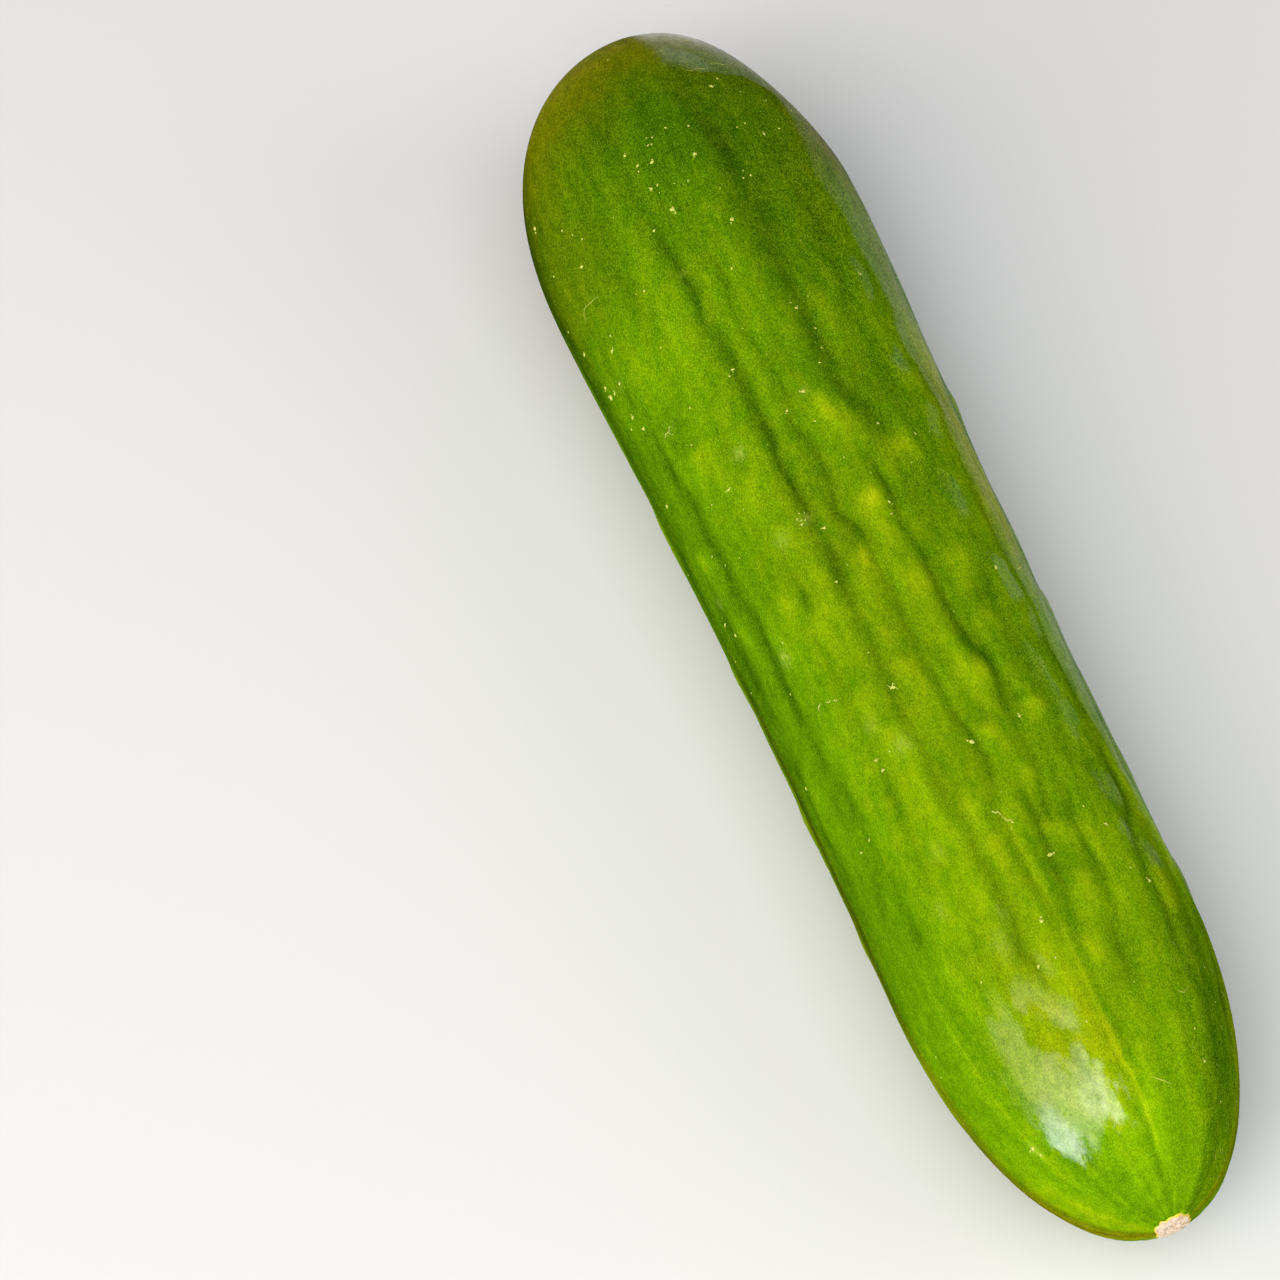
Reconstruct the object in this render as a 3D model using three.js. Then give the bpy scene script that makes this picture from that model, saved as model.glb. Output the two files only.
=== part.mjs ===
// A small smooth-skinned cucumber as picked, lying on its belly.
// Millimetres, +Z up. The fruit lies along X: the stalk came off at -X, the flower at +X.
// It grew as one piece, so it is one closed solid. Its furrows, lumps and scars are raised
// from the skin by formulas that work in two skin coordinates:
//   along  - millimetres from the stem end, measured on the straight axis
//   around - degrees from the top line, growing towards +Y
import * as THREE from 'three';

const { clamp, degToRad, euclideanModulo, lerp, smoothstep } = THREE.MathUtils;

// Overall size and profile.
const LENGTH = 178;
const RADIUS_STATIONS = [0.18, 0.5, 0.8]; // shares of the length
const STATION_RADII = [21.14, 19.19, 18.96];
const STEM_CAP = { length: 35.8, power: 2.385 }; // how far each end rounds off, and how bluntly
const BLOSSOM_CAP = { length: 42.1, power: 2.132 };
const SIDE_BOW = 0.73; // how far the middle bows towards +Y
const SHOULDER_FLAT = { share: 0.1, along: 12, reach: 14, around: 79 }; // flatter side of the stem end
const BELLY_SINK = 0.6; // how much of the belly is pressed flat
const BELLY_CALM = { inner: 17, outer: 42 }; // degrees from the bottom line where relief returns

// Mesh density.
const SIDES = 90;
const BODY_RINGS = 49;
const SCAR_RING_SHARES = [0.35, 0.7, 0.92, 1.08, 1.4]; // rings over each scar, as shares of its radius

// The scar where the flower dropped off: a thin corky disc with a ragged rim and a small pit.
const BLOSSOM_SCAR = { radius: 2.75, height: 0.12, rim: 0.3, teeth: 13, ragged: 0.16, pit: 0.28 };
const BLOSSOM_RAYS = { count: 17, depth: 0.17, start: 3, end: 15, seed: 71 };

// The scar where the stalk broke off: a low five-sided stub in a shallow dimple.
const STALK_SCAR = { radius: 3.5, height: 0.75, rim: 0.35, teeth: 5, ragged: 0.06, pit: 0.35 };
const STEM_DIMPLE = { radius: 6.5, depth: 0.9 };

// Lengthwise furrows. A route runs through [along, around] points.
const FURROW_TAPER = 7;
const FURROW_BANK = { share: 0.3, offset: 2.3, width: 1.3 }; // the swollen lips beside a furrow
const FURROW_FLUX = { share: 0.5, cell: 7, apart: 2.7 }; // how much a furrow deepens and fades on its way
const FURROWS = [
  { depth: 0.24, width: 0.9, route: [[42, -27], [50, -25.5], [60, -24.5], [72, -23.5], [84, -22.5]] },
  { depth: 0.21, width: 1.2, route: [[88, -21], [99, -22], [118, -21], [134, -21], [146, -20]] },
  {
    depth: 0.22,
    width: 0.8,
    route: [
      [50, -14.5], [60, -13.5], [80, -12], [88, -9], [100, -8], [113, -6], [121, -4], [131, -7], [137, -8],
    ],
  },
  { depth: 0.15, width: 1.8, route: [[20, 4], [34, 6], [52, 6], [66, 7]] },
  {
    depth: 0.32,
    width: 1.1,
    route: [[81, 7], [92, 8.5], [103, 10], [109, 14], [117, 15], [124, 12], [131, 9.5]],
  },
  { depth: 0.25, width: 0.8, route: [[130, 4.5], [134, 3.5], [138, 2]] },
  { depth: 0.24, width: 0.8, route: [[130, 19], [138, 19], [145, 17.5], [150, 13]] },
  { depth: 0.13, width: 1.3, route: [[28, 28], [50, 27], [70, 28], [95, 27], [104, 28], [122, 31]] },
  { depth: 0.16, width: 1.3, route: [[80, 45], [92, 48], [110, 47], [122, 49]] },
  { depth: 0.32, width: 1.2, route: [[128, 49], [135, 43], [140, 39], [147, 40]] },
  {
    depth: 0.21,
    width: 1.1,
    route: [
      [52, -71], [60, -68], [75, -65], [85, -64], [92, -61], [103, -62], [112, -60], [124, -57], [134, -57],
    ],
  },
  { depth: 0.17, width: 0.9, route: [[86, -39], [91, -37.5], [100, -40], [118, -40], [130, -41]] },
  { depth: 0.17, width: 1.2, route: [[80, -81], [96, -80], [110, -79], [120, -82]] },
  { depth: 0.18, width: 1.6, route: [[60, 7], [66, 8], [71, 13], [76, 18]] },
  { depth: 0.12, width: 0.8, route: [[61, -40], [70, -40]] },
  { depth: 0.2, width: 1.2, route: [[30, 74], [46, 71], [60, 73], [78, 70], [92, 72]] },
  { depth: 0.24, width: 1.0, route: [[64, 84], [76, 87], [90, 83], [104, 86], [118, 82]] },
  { depth: 0.2, width: 1.1, route: [[24, 92], [40, 95], [56, 92], [70, 96], [84, 97]] },
  { depth: 0.26, width: 1.0, route: [[96, 98], [108, 94], [122, 97], [136, 93], [146, 95]] },
  { depth: 0.18, width: 1.3, route: [[36, 108], [52, 111], [70, 107], [88, 110]] },
  { depth: 0.22, width: 1.0, route: [[84, 119], [98, 115], [114, 118], [130, 114], [142, 112]] },
  { depth: 0.18, width: 1.2, route: [[52, 127], [70, 124], [86, 128], [100, 130]] },
  { depth: 0.22, width: 0.9, route: [[112, 70], [124, 67], [136, 71], [148, 69], [158, 66]] },
  { depth: 0.18, width: 1.2, route: [[40, -98], [58, -101], [76, -98], [94, -102], [110, -99]] },
  { depth: 0.22, width: 1.0, route: [[70, -113], [86, -110], [104, -114], [122, -111], [138, -113]] },
  { depth: 0.18, width: 1.2, route: [[46, -126], [64, -123], [84, -127], [100, -124]] },
];

// Single lumps: [along, around, half length, half width, height].
const LUMPS = [
  [71, 0, 5, 1.8, 0.26], [85.5, 0.5, 4.2, 1.6, 0.34], [90.5, -11.5, 2.8, 1.1, 0.26],
  [77, 19, 3.2, 2.2, 0.32], [97, 5, 4, 1.6, 0.18], [96, 22, 3, 2.2, 0.21], [103, 22, 2.2, 1.8, 0.21],
  [106.5, -15, 2, 1.4, 0.18], [111, 9, 4, 1.6, 0.26], [118.5, 2, 2.2, 1.6, 0.23], [118, 22, 3, 2, 0.26],
  [127, -16, 2.8, 1.3, 0.21], [134.5, -15, 3, 1.2, 0.16], [126, 8, 3, 1.5, 0.16], [133, 11, 2.2, 2.4, 0.24],
  [136, 23, 4, 2.2, 0.21], [143.5, 9, 3.6, 2, 0.24], [151, 5, 4, 1.7, 0.18], [145, 22, 4, 2, 0.16],
  [143.5, 46, 3.2, 2.6, 0.32], [83, -36, 2.6, 1.6, 0.16], [75.5, -36, 3, 1.6, 0.16],
  [96.5, -36.5, 3, 1.3, 0.18], [107.5, -36.5, 2.4, 1.4, 0.16], [68, -51, 3, 3, 0.18],
  [91, -45, 2.6, 1.4, 0.16], [112, -75, 4, 2.2, 0.2], [78, -74, 4, 1.8, 0.18], [89, -71, 3.5, 1.4, 0.16],
  [115.5, -28, 2.6, 1.8, 0.16], [57, 15, 4.2, 2.2, 0.18], [68, 40, 3.5, 2, 0.18], [50, 84, 3.6, 2, 0.18],
  [66, 78, 4, 1.8, 0.26], [98, 78, 4, 1.6, 0.24], [84, 90, 3, 2, 0.24], [110, 89, 4, 1.8, 0.26],
  [126, 88, 3, 1.6, 0.22], [54, 101, 4, 2, 0.2], [76, 102, 3.4, 1.8, 0.24], [92, 104, 3, 1.6, 0.22],
  [116, 107, 4, 2, 0.26], [132, 104, 3, 1.8, 0.22], [104, 122, 3.4, 1.8, 0.2], [78, 116, 3.6, 1.8, 0.2],
  [138, 80, 4, 2, 0.24], [148, 88, 3, 1.6, 0.16], [66, -105, 4, 1.8, 0.22], [88, -105, 3.4, 1.8, 0.22],
  [112, -106, 4, 1.8, 0.22], [128, -104, 3, 1.6, 0.2], [98, -119, 3.4, 1.8, 0.18], [76, -120, 3, 1.6, 0.18],
];

// A lump rises steeply towards the stem end, at its head, and runs out slowly the other way. Shares
// of the half length.
const LUMP_SHAPE = { head: 0.6, tail: 1.3, lead: 0.3 };

// A flattened patch beside the blossom end.
const BLOSSOM_DIP = { along: 165, around: -34, halfLength: 9, halfWidth: 4.8, depth: 0.32 };

// Furrows and lumps are pushed about a little, in mm along and degrees around, so none is quite regular.
const WANDER = { seed: 27, cell: 4.5, columns: 42, rows: 30, shift: 13.5, along: 1.6, around: 2.4 };

// The wrinkled relief that covers the whole fruit.
const WRINKLES = { seed: 20, cell: 12.5, columns: 24, rows: 34, depth: 0.13, sharpness: 0.3, sway: 0.55 };
const SWELLS = { seed: 5, cell: 8.5, columns: 32, rows: 26, height: 0.15 };
const SWAY = { seed: 9, cell: 17, columns: 18, rows: 15 };
const RUGGED = { base: 0.74, swing: 0.3, around: 55 }; // the +Y flank is the more wrinkled one
const RELIEF_FADE_IN = [8, 62]; // mm from the stem end, which is nearly smooth
const RELIEF_FADE_OUT = [146, 176];
const RELIEF_AT_BLOSSOM = 0.25;

const SKIN_COLOUR = 0x4f8a05;

// A repeatable stream of numbers between 0 and 1.
function randomStream(seed) {
  let state = seed * 7919;
  return () => {
    state = (state * 16807) % 2147483647;
    return state / 2147483647;
  };
}

// Smooth noise between -1 and 1 on a lattice that wraps both ways.
function makeNoise({ seed, columns, rows }) {
  const random = randomStream(seed);
  const lattice = Array.from({ length: columns * rows }, () => random() * 2 - 1);
  const at = (column, row) => lattice[euclideanModulo(column, columns) * rows + euclideanModulo(row, rows)];
  return (u, v) => {
    const column = Math.floor(u);
    const row = Math.floor(v);
    const easeU = smoothstep(u - column, 0, 1);
    const easeV = smoothstep(v - row, 0, 1);
    const near = lerp(at(column, row), at(column + 1, row), easeU);
    const far = lerp(at(column, row + 1), at(column + 1, row + 1), easeU);
    return lerp(near, far, easeV);
  };
}

const wrinkleNoise = makeNoise(WRINKLES);
const swellNoise = makeNoise(SWELLS);
const swayNoise = makeNoise(SWAY);
const wanderNoise = makeNoise(WANDER);

const bell = (distance, width) => Math.exp(-((distance / width) ** 2));

// The shortest turn from one angle to another, in degrees.
const turnBetween = (from, to) => euclideanModulo(to - from + 180, 360) - 180;

// Radius of the trunk before its ends round off: a parabola through the three stations.
function trunkRadius(along) {
  const share = along / LENGTH;
  return RADIUS_STATIONS.reduce((sum, station, index) => {
    const others = RADIUS_STATIONS.filter((_, other) => other !== index);
    const weight = others.reduce((product, other) => product * (share - other) / (station - other), 1);
    return sum + STATION_RADII[index] * weight;
  }, 0);
}

function capShare(distance, { length, power }) {
  const left = clamp(1 - distance / length, 0, 1);
  return Math.sqrt(Math.max(0, 1 - left ** power));
}

function bodyRadius(along, around) {
  const facing = clamp(Math.cos(degToRad(turnBetween(SHOULDER_FLAT.around, around))), 0, 1);
  const nearness = bell(along - SHOULDER_FLAT.along, SHOULDER_FLAT.reach);
  const shoulder = 1 - SHOULDER_FLAT.share * nearness * facing ** 2;
  const rounded = capShare(along, STEM_CAP) * capShare(LENGTH - along, BLOSSOM_CAP);
  return trunkRadius(along) * rounded * shoulder;
}

// How much of the full relief shows at a place on the skin.
function reliefShare(along, around) {
  const fadeIn = smoothstep(along, ...RELIEF_FADE_IN);
  const fadeOut = lerp(1, RELIEF_AT_BLOSSOM, smoothstep(along, ...RELIEF_FADE_OUT));
  const rugged = RUGGED.base + RUGGED.swing * Math.cos(degToRad(around - RUGGED.around));
  return fadeIn * fadeOut * rugged;
}

// Where a furrow runs at a given place along the fruit.
function routeAround(route, along) {
  const next = clamp(route.findIndex(([end]) => end >= along), 1, route.length - 1);
  const [startAlong, startAround] = route[next - 1];
  const [endAlong, endAround] = route[next];
  return lerp(startAround, endAround, smoothstep(along, startAlong, endAlong));
}

// A place on the skin, pushed about by the wander noise.
function wandered(along, around) {
  const u = along / WANDER.cell;
  const v = (around / 360) * WANDER.rows;
  const pushedAlong = along + WANDER.along * wanderNoise(u, v);
  const pushedAround = around + WANDER.around * wanderNoise(u + WANDER.shift, v);
  return [pushedAlong, pushedAround];
}

function furrowRelief(along, around, radius) {
  let height = 0;
  for (const [index, { route, depth, width }] of FURROWS.entries()) {
    const start = route[0][0];
    const end = route[route.length - 1][0];
    const fadeIn = smoothstep(along, start - FURROW_TAPER, start);
    const fadeOut = 1 - smoothstep(along, end, end + FURROW_TAPER);
    const reached = clamp(along, start, end);
    const offset = Math.abs(degToRad(turnBetween(routeAround(route, reached), around))) * radius;
    const flux = 1 + FURROW_FLUX.share * wanderNoise(along / FURROW_FLUX.cell, index * FURROW_FLUX.apart);
    const bank = FURROW_BANK.share * bell(offset - FURROW_BANK.offset, FURROW_BANK.width);
    height += depth * flux * fadeIn * fadeOut * (bank - bell(offset, width));
  }
  return height;
}

function lumpRelief(along, around, radius) {
  let height = 0;
  for (const [centreAlong, centreAround, halfLength, halfWidth, rise] of LUMPS) {
    const sideways = degToRad(turnBetween(centreAround, around)) * radius;
    const pastHead = along - centreAlong + LUMP_SHAPE.lead * halfLength;
    const reach = halfLength * (pastHead < 0 ? LUMP_SHAPE.head : LUMP_SHAPE.tail);
    height += rise * bell(pastHead, reach) * bell(sideways, halfWidth);
  }
  return height;
}

function dipRelief(along, around, radius) {
  const sideways = degToRad(turnBetween(BLOSSOM_DIP.around, around)) * radius;
  const reach = bell(along - BLOSSOM_DIP.along, BLOSSOM_DIP.halfLength);
  return -BLOSSOM_DIP.depth * reach * bell(sideways, BLOSSOM_DIP.halfWidth);
}

// A net of meandering wrinkles with soft swellings between them.
function wrinkleRelief(along, around) {
  const turn = around / 360;
  const sway = WRINKLES.sway * swayNoise(along / SWAY.cell, turn * SWAY.rows);
  const wrinkle = wrinkleNoise(along / WRINKLES.cell, turn * WRINKLES.rows + sway);
  const swell = swellNoise(along / SWELLS.cell, turn * SWELLS.rows + sway);
  return SWELLS.height * swell - WRINKLES.depth * bell(wrinkle, WRINKLES.sharpness);
}

// Creases that gather towards the blossom scar.
const rayRandom = randomStream(BLOSSOM_RAYS.seed);
const rays = Array.from({ length: BLOSSOM_RAYS.count }, (_, index) => ({
  around: (index + 0.7 * rayRandom()) * 360 / BLOSSOM_RAYS.count,
  depth: BLOSSOM_RAYS.depth * (0.45 + 0.55 * rayRandom()),
}));

function rayRelief(toBlossom, around, radius) {
  const gather = smoothstep(radius, BLOSSOM_SCAR.radius, BLOSSOM_RAYS.start + 2);
  const fade = gather * (1 - smoothstep(toBlossom, BLOSSOM_RAYS.start, BLOSSOM_RAYS.end));
  const width = 0.35 + 0.06 * radius;
  let height = 0;
  for (const ray of rays) {
    const offset = degToRad(turnBetween(ray.around, around)) * radius;
    height -= ray.depth * bell(offset, width);
  }
  return height * fade;
}

// A scar's disc stands a little proud, with a ragged rim and a pit at its centre.
function scarRelief(scar, around, radius) {
  const angle = degToRad(around);
  const rag = Math.sin(scar.teeth * angle) * 0.6 + Math.sin((scar.teeth * 2 + 1) * angle + 1) * 0.4;
  const edge = scar.radius * (1 + scar.ragged * rag * 0.5);
  const disc = 1 - smoothstep(radius, edge - scar.rim, edge + scar.rim);
  return scar.height * disc - scar.pit * bell(radius, scar.radius * 0.3);
}

function reliefHeight(along, around, radius) {
  const fromBottom = Math.abs(turnBetween(180, around));
  const calm = smoothstep(fromBottom, BELLY_CALM.inner, BELLY_CALM.outer);
  const wrinkled = wrinkleRelief(along, around) * reliefShare(along, around);
  const pushed = wandered(along, around);
  const trunk = wrinkled + furrowRelief(...pushed, radius) + lumpRelief(...pushed, radius);
  const skin = trunk * calm + dipRelief(along, around, radius);
  const toBlossom = LENGTH - along;
  if (along > toBlossom) {
    return skin + rayRelief(toBlossom, around, radius) + scarRelief(BLOSSOM_SCAR, around, radius);
  }
  const dimple = -STEM_DIMPLE.depth * bell(radius, STEM_DIMPLE.radius);
  return skin + dimple + scarRelief(STALK_SCAR, around, radius);
}

// The smooth profile at a swing of 0 (stem pole) to pi (blossom pole). Equal swings lie closer
// together near the poles, and the radius grows evenly there.
function profileAt(swing, around) {
  const along = LENGTH * (1 - Math.cos(swing)) / 2;
  return { along, radius: bodyRadius(along, around) };
}

function skinPoint(swing, around) {
  const step = 1e-3;
  const { along, radius } = profileAt(swing, around);
  const before = profileAt(Math.max(0, swing - step), around);
  const after = profileAt(Math.min(Math.PI, swing + step), around);
  const normal = new THREE.Vector2(before.radius - after.radius, after.along - before.along).normalize();
  const height = reliefHeight(along, around, radius);
  const outward = radius + height * normal.y;
  const angle = degToRad(around);
  const middle = (2 * along) / LENGTH - 1;
  const x = along + height * normal.x - LENGTH / 2;
  const y = outward * Math.sin(angle) + SIDE_BOW * (1 - middle * middle);
  const z = outward * Math.cos(angle) + trunkRadius(along) - BELLY_SINK;
  return [x, y, Math.max(0, z)];
}

// The two poles have no ring. Near each pole extra rings follow the rim of its scar.
function polePoint(swing) {
  const atStem = swing === 0;
  const along = atStem ? 0 : LENGTH;
  const height = reliefHeight(along, 0, 0);
  return [along + (atStem ? -height : height) - LENGTH / 2, 0, trunkRadius(along) - BELLY_SINK];
}

// Near a pole the radius grows evenly with the swing, so one swing reaches a scar's rim.
function rimSwing(scar, alongAtSwing) {
  const probe = 0.05;
  return (scar.radius * probe) / bodyRadius(alongAtSwing(probe), 0);
}

function ringSwings() {
  const stemRim = rimSwing(STALK_SCAR, (swing) => (LENGTH * (1 - Math.cos(swing))) / 2);
  const blossomRim = rimSwing(BLOSSOM_SCAR, (swing) => (LENGTH * (1 + Math.cos(swing))) / 2);
  const atStem = SCAR_RING_SHARES.map((share) => share * stemRim);
  const atBlossom = SCAR_RING_SHARES.map((share) => Math.PI - share * blossomRim).reverse();
  const first = atStem[atStem.length - 1];
  const last = atBlossom[0];
  const shares = Array.from({ length: BODY_RINGS }, (_, ring) => (ring + 1) / (BODY_RINGS + 1));
  const body = shares.map((share) => lerp(first, last, share));
  return [...atStem, ...body, ...atBlossom];
}

function cucumberGeometry() {
  const swings = ringSwings();
  const positions = [...polePoint(0)];
  for (const swing of swings) {
    for (let side = 0; side < SIDES; side += 1) {
      positions.push(...skinPoint(swing, (side * 360) / SIDES));
    }
  }
  positions.push(...polePoint(Math.PI));

  const vertex = (ring, side) => 1 + ring * SIDES + (side % SIDES);
  const blossomPole = 1 + swings.length * SIDES;
  const triangles = [];
  for (let side = 0; side < SIDES; side += 1) {
    triangles.push(0, vertex(0, side), vertex(0, side + 1));
    for (let ring = 0; ring + 1 < swings.length; ring += 1) {
      triangles.push(vertex(ring, side), vertex(ring + 1, side), vertex(ring + 1, side + 1));
      triangles.push(vertex(ring, side), vertex(ring + 1, side + 1), vertex(ring, side + 1));
    }
    triangles.push(vertex(swings.length - 1, side), blossomPole, vertex(swings.length - 1, side + 1));
  }

  const geometry = new THREE.BufferGeometry();
  geometry.setAttribute('position', new THREE.Float32BufferAttribute(positions, 3));
  geometry.setIndex(triangles);
  geometry.computeBoundingBox();
  const centre = geometry.boundingBox.getCenter(new THREE.Vector3());
  geometry.translate(-centre.x, -centre.y, 0); // the origin is under the middle of the fruit
  geometry.computeVertexNormals();
  return geometry;
}

const skin = new THREE.MeshStandardMaterial({ color: SKIN_COLOUR, roughness: 0.38, metalness: 0 });
const cucumber = new THREE.Mesh(cucumberGeometry(), skin);
cucumber.name = 'cucumber';

const part = new THREE.Group();
part.add(cucumber);

export default part;
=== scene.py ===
import math

import bpy
import numpy as np
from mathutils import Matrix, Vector


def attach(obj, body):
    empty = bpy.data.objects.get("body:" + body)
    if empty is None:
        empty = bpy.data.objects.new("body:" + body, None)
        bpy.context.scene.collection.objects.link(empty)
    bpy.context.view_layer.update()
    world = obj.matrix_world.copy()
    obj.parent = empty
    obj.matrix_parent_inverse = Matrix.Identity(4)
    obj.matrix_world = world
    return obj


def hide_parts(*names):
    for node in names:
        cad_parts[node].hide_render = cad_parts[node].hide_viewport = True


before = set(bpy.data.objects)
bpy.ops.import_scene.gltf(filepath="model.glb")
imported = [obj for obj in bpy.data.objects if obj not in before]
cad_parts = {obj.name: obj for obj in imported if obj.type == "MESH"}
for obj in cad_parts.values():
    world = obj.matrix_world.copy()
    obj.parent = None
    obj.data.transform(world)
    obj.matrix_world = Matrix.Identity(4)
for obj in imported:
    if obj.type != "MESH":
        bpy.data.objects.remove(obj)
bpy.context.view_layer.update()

MM = 0.001

# ---------------------------------------------------------------- sizes of the fruit

LENGTH = 178.0
RADIUS_STATIONS = (0.18, 0.5, 0.8)  # shares of the length
STATION_RADII = (21.14, 19.19, 18.96)
STEM_CAP = {"length": 35.8, "power": 2.385}  # how far each end rounds off, and how bluntly
BLOSSOM_CAP = {"length": 42.1, "power": 2.132}
SIDE_BOW = 0.73  # how far the middle bows towards +Y
SHOULDER_FLAT = {"share": 0.1, "along": 12.0, "reach": 14.0, "around": 79.0}  # flatter side of the stem end
BELLY_SINK = 0.6  # how much of the belly is pressed flat
BELLY_CALM = (17.0, 42.0)  # degrees from the bottom line where relief returns

SKIN_SIDES = 304
SKIN_RINGS = 322
END_ZONE = {"reach": 8.0, "rings": 30}  # closer rings near each end, for the scars
PROFILE_SAMPLES = 4000
SLOPE_STEP = 1e-3  # half of the swing over which the slope of the profile is taken

BLOSSOM_SCAR = {"radius": 2.75, "height": 0.12, "rim": 0.3, "teeth": 13, "ragged": 0.16, "pit": 0.28}
STALK_SCAR = {"radius": 3.5, "height": 0.75, "rim": 0.35, "teeth": 5, "ragged": 0.06, "pit": 0.35}
SCAR_PIT_SHARE = 0.3  # width of a scar's pit, as a share of its radius
SCAR_FINE_TEETH = 0.4  # share of the rim's raggedness that is in its finer teeth
STEM_DIMPLE = {"radius": 6.5, "depth": 0.9}
BLOSSOM_RAYS = {  # creases that gather at the blossom scar, full grown at the radius "clear" of it
    "count": 17, "seed": 71, "jitter": 0.7, "depth": 0.17, "shallowest": 0.45,
    "start": 3.0, "end": 15.0, "clear": 5.0, "width": 0.35, "widening": 0.06,
}

FURROW_TAPER = 7.0
FURROW_BANK = {"share": 0.3, "offset": 2.3, "width": 1.3}  # the swollen lips beside a furrow
FURROW_FLUX = {"share": 0.5, "cell": 7.0, "apart": 2.7}  # how much a furrow deepens and fades on its way
FURROW_SHADE_LINE = {"width": 0.42, "faint": 0.1, "full": 0.36}  # painted shade: the dark line down a furrow, by its depth
FURROWS = [  # depth, width, route of (along, around)
    (0.24, 0.9, [(42, -27), (50, -25.5), (60, -24.5), (72, -23.5), (84, -22.5)]),
    (0.21, 1.2, [(88, -21), (99, -22), (118, -21), (134, -21), (146, -20)]),
    (0.22, 0.8, [
        (50, -14.5), (60, -13.5), (80, -12), (88, -9), (100, -8), (113, -6), (121, -4), (131, -7),
        (137, -8),
    ]),
    (0.15, 1.8, [(20, 4), (34, 6), (52, 6), (66, 7)]),
    (0.32, 1.1, [(81, 7), (92, 8.5), (103, 10), (109, 14), (117, 15), (124, 12), (131, 9.5)]),
    (0.25, 0.8, [(130, 4.5), (134, 3.5), (138, 2)]),
    (0.24, 0.8, [(130, 19), (138, 19), (145, 17.5), (150, 13)]),
    (0.13, 1.3, [(28, 28), (50, 27), (70, 28), (95, 27), (104, 28), (122, 31)]),
    (0.16, 1.3, [(80, 45), (92, 48), (110, 47), (122, 49)]),
    (0.32, 1.2, [(128, 49), (135, 43), (140, 39), (147, 40)]),
    (0.21, 1.1, [
        (52, -71), (60, -68), (75, -65), (85, -64), (92, -61), (103, -62), (112, -60), (124, -57),
        (134, -57),
    ]),
    (0.17, 0.9, [(86, -39), (91, -37.5), (100, -40), (118, -40), (130, -41)]),
    (0.17, 1.2, [(80, -81), (96, -80), (110, -79), (120, -82)]),
    (0.18, 1.6, [(60, 7), (66, 8), (71, 13), (76, 18)]),
    (0.12, 0.8, [(61, -40), (70, -40)]),
    (0.2, 1.2, [(30, 74), (46, 71), (60, 73), (78, 70), (92, 72)]),
    (0.24, 1.0, [(64, 84), (76, 87), (90, 83), (104, 86), (118, 82)]),
    (0.2, 1.1, [(24, 92), (40, 95), (56, 92), (70, 96), (84, 97)]),
    (0.26, 1.0, [(96, 98), (108, 94), (122, 97), (136, 93), (146, 95)]),
    (0.18, 1.3, [(36, 108), (52, 111), (70, 107), (88, 110)]),
    (0.22, 1.0, [(84, 119), (98, 115), (114, 118), (130, 114), (142, 112)]),
    (0.18, 1.2, [(52, 127), (70, 124), (86, 128), (100, 130)]),
    (0.22, 0.9, [(112, 70), (124, 67), (136, 71), (148, 69), (158, 66)]),
    (0.18, 1.2, [(40, -98), (58, -101), (76, -98), (94, -102), (110, -99)]),
    (0.22, 1.0, [(70, -113), (86, -110), (104, -114), (122, -111), (138, -113)]),
    (0.18, 1.2, [(46, -126), (64, -123), (84, -127), (100, -124)]),
]

LUMPS = [  # along, around, half length, half width, height
    (71, 0, 5, 1.8, 0.26), (85.5, 0.5, 4.2, 1.6, 0.34), (90.5, -11.5, 2.8, 1.1, 0.26),
    (77, 19, 3.2, 2.2, 0.32), (97, 5, 4, 1.6, 0.18), (96, 22, 3, 2.2, 0.21), (103, 22, 2.2, 1.8, 0.21),
    (106.5, -15, 2, 1.4, 0.18), (111, 9, 4, 1.6, 0.26), (118.5, 2, 2.2, 1.6, 0.23), (118, 22, 3, 2, 0.26),
    (127, -16, 2.8, 1.3, 0.21), (134.5, -15, 3, 1.2, 0.16), (126, 8, 3, 1.5, 0.16),
    (133, 11, 2.2, 2.4, 0.24), (136, 23, 4, 2.2, 0.21), (143.5, 9, 3.6, 2, 0.24), (151, 5, 4, 1.7, 0.18),
    (145, 22, 4, 2, 0.16), (143.5, 46, 3.2, 2.6, 0.32), (83, -36, 2.6, 1.6, 0.16),
    (75.5, -36, 3, 1.6, 0.16), (96.5, -36.5, 3, 1.3, 0.18), (107.5, -36.5, 2.4, 1.4, 0.16),
    (68, -51, 3, 3, 0.18), (91, -45, 2.6, 1.4, 0.16), (112, -75, 4, 2.2, 0.2), (78, -74, 4, 1.8, 0.18),
    (89, -71, 3.5, 1.4, 0.16), (115.5, -28, 2.6, 1.8, 0.16), (57, 15, 4.2, 2.2, 0.18),
    (68, 40, 3.5, 2, 0.18), (50, 84, 3.6, 2, 0.18), (66, 78, 4, 1.8, 0.26), (98, 78, 4, 1.6, 0.24),
    (84, 90, 3, 2, 0.24), (110, 89, 4, 1.8, 0.26), (126, 88, 3, 1.6, 0.22), (54, 101, 4, 2, 0.2),
    (76, 102, 3.4, 1.8, 0.24), (92, 104, 3, 1.6, 0.22), (116, 107, 4, 2, 0.26), (132, 104, 3, 1.8, 0.22),
    (104, 122, 3.4, 1.8, 0.2), (78, 116, 3.6, 1.8, 0.2), (138, 80, 4, 2, 0.24), (148, 88, 3, 1.6, 0.16),
    (66, -105, 4, 1.8, 0.22), (88, -105, 3.4, 1.8, 0.22), (112, -106, 4, 1.8, 0.22),
    (128, -104, 3, 1.6, 0.2), (98, -119, 3.4, 1.8, 0.18), (76, -120, 3, 1.6, 0.18),
]
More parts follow.
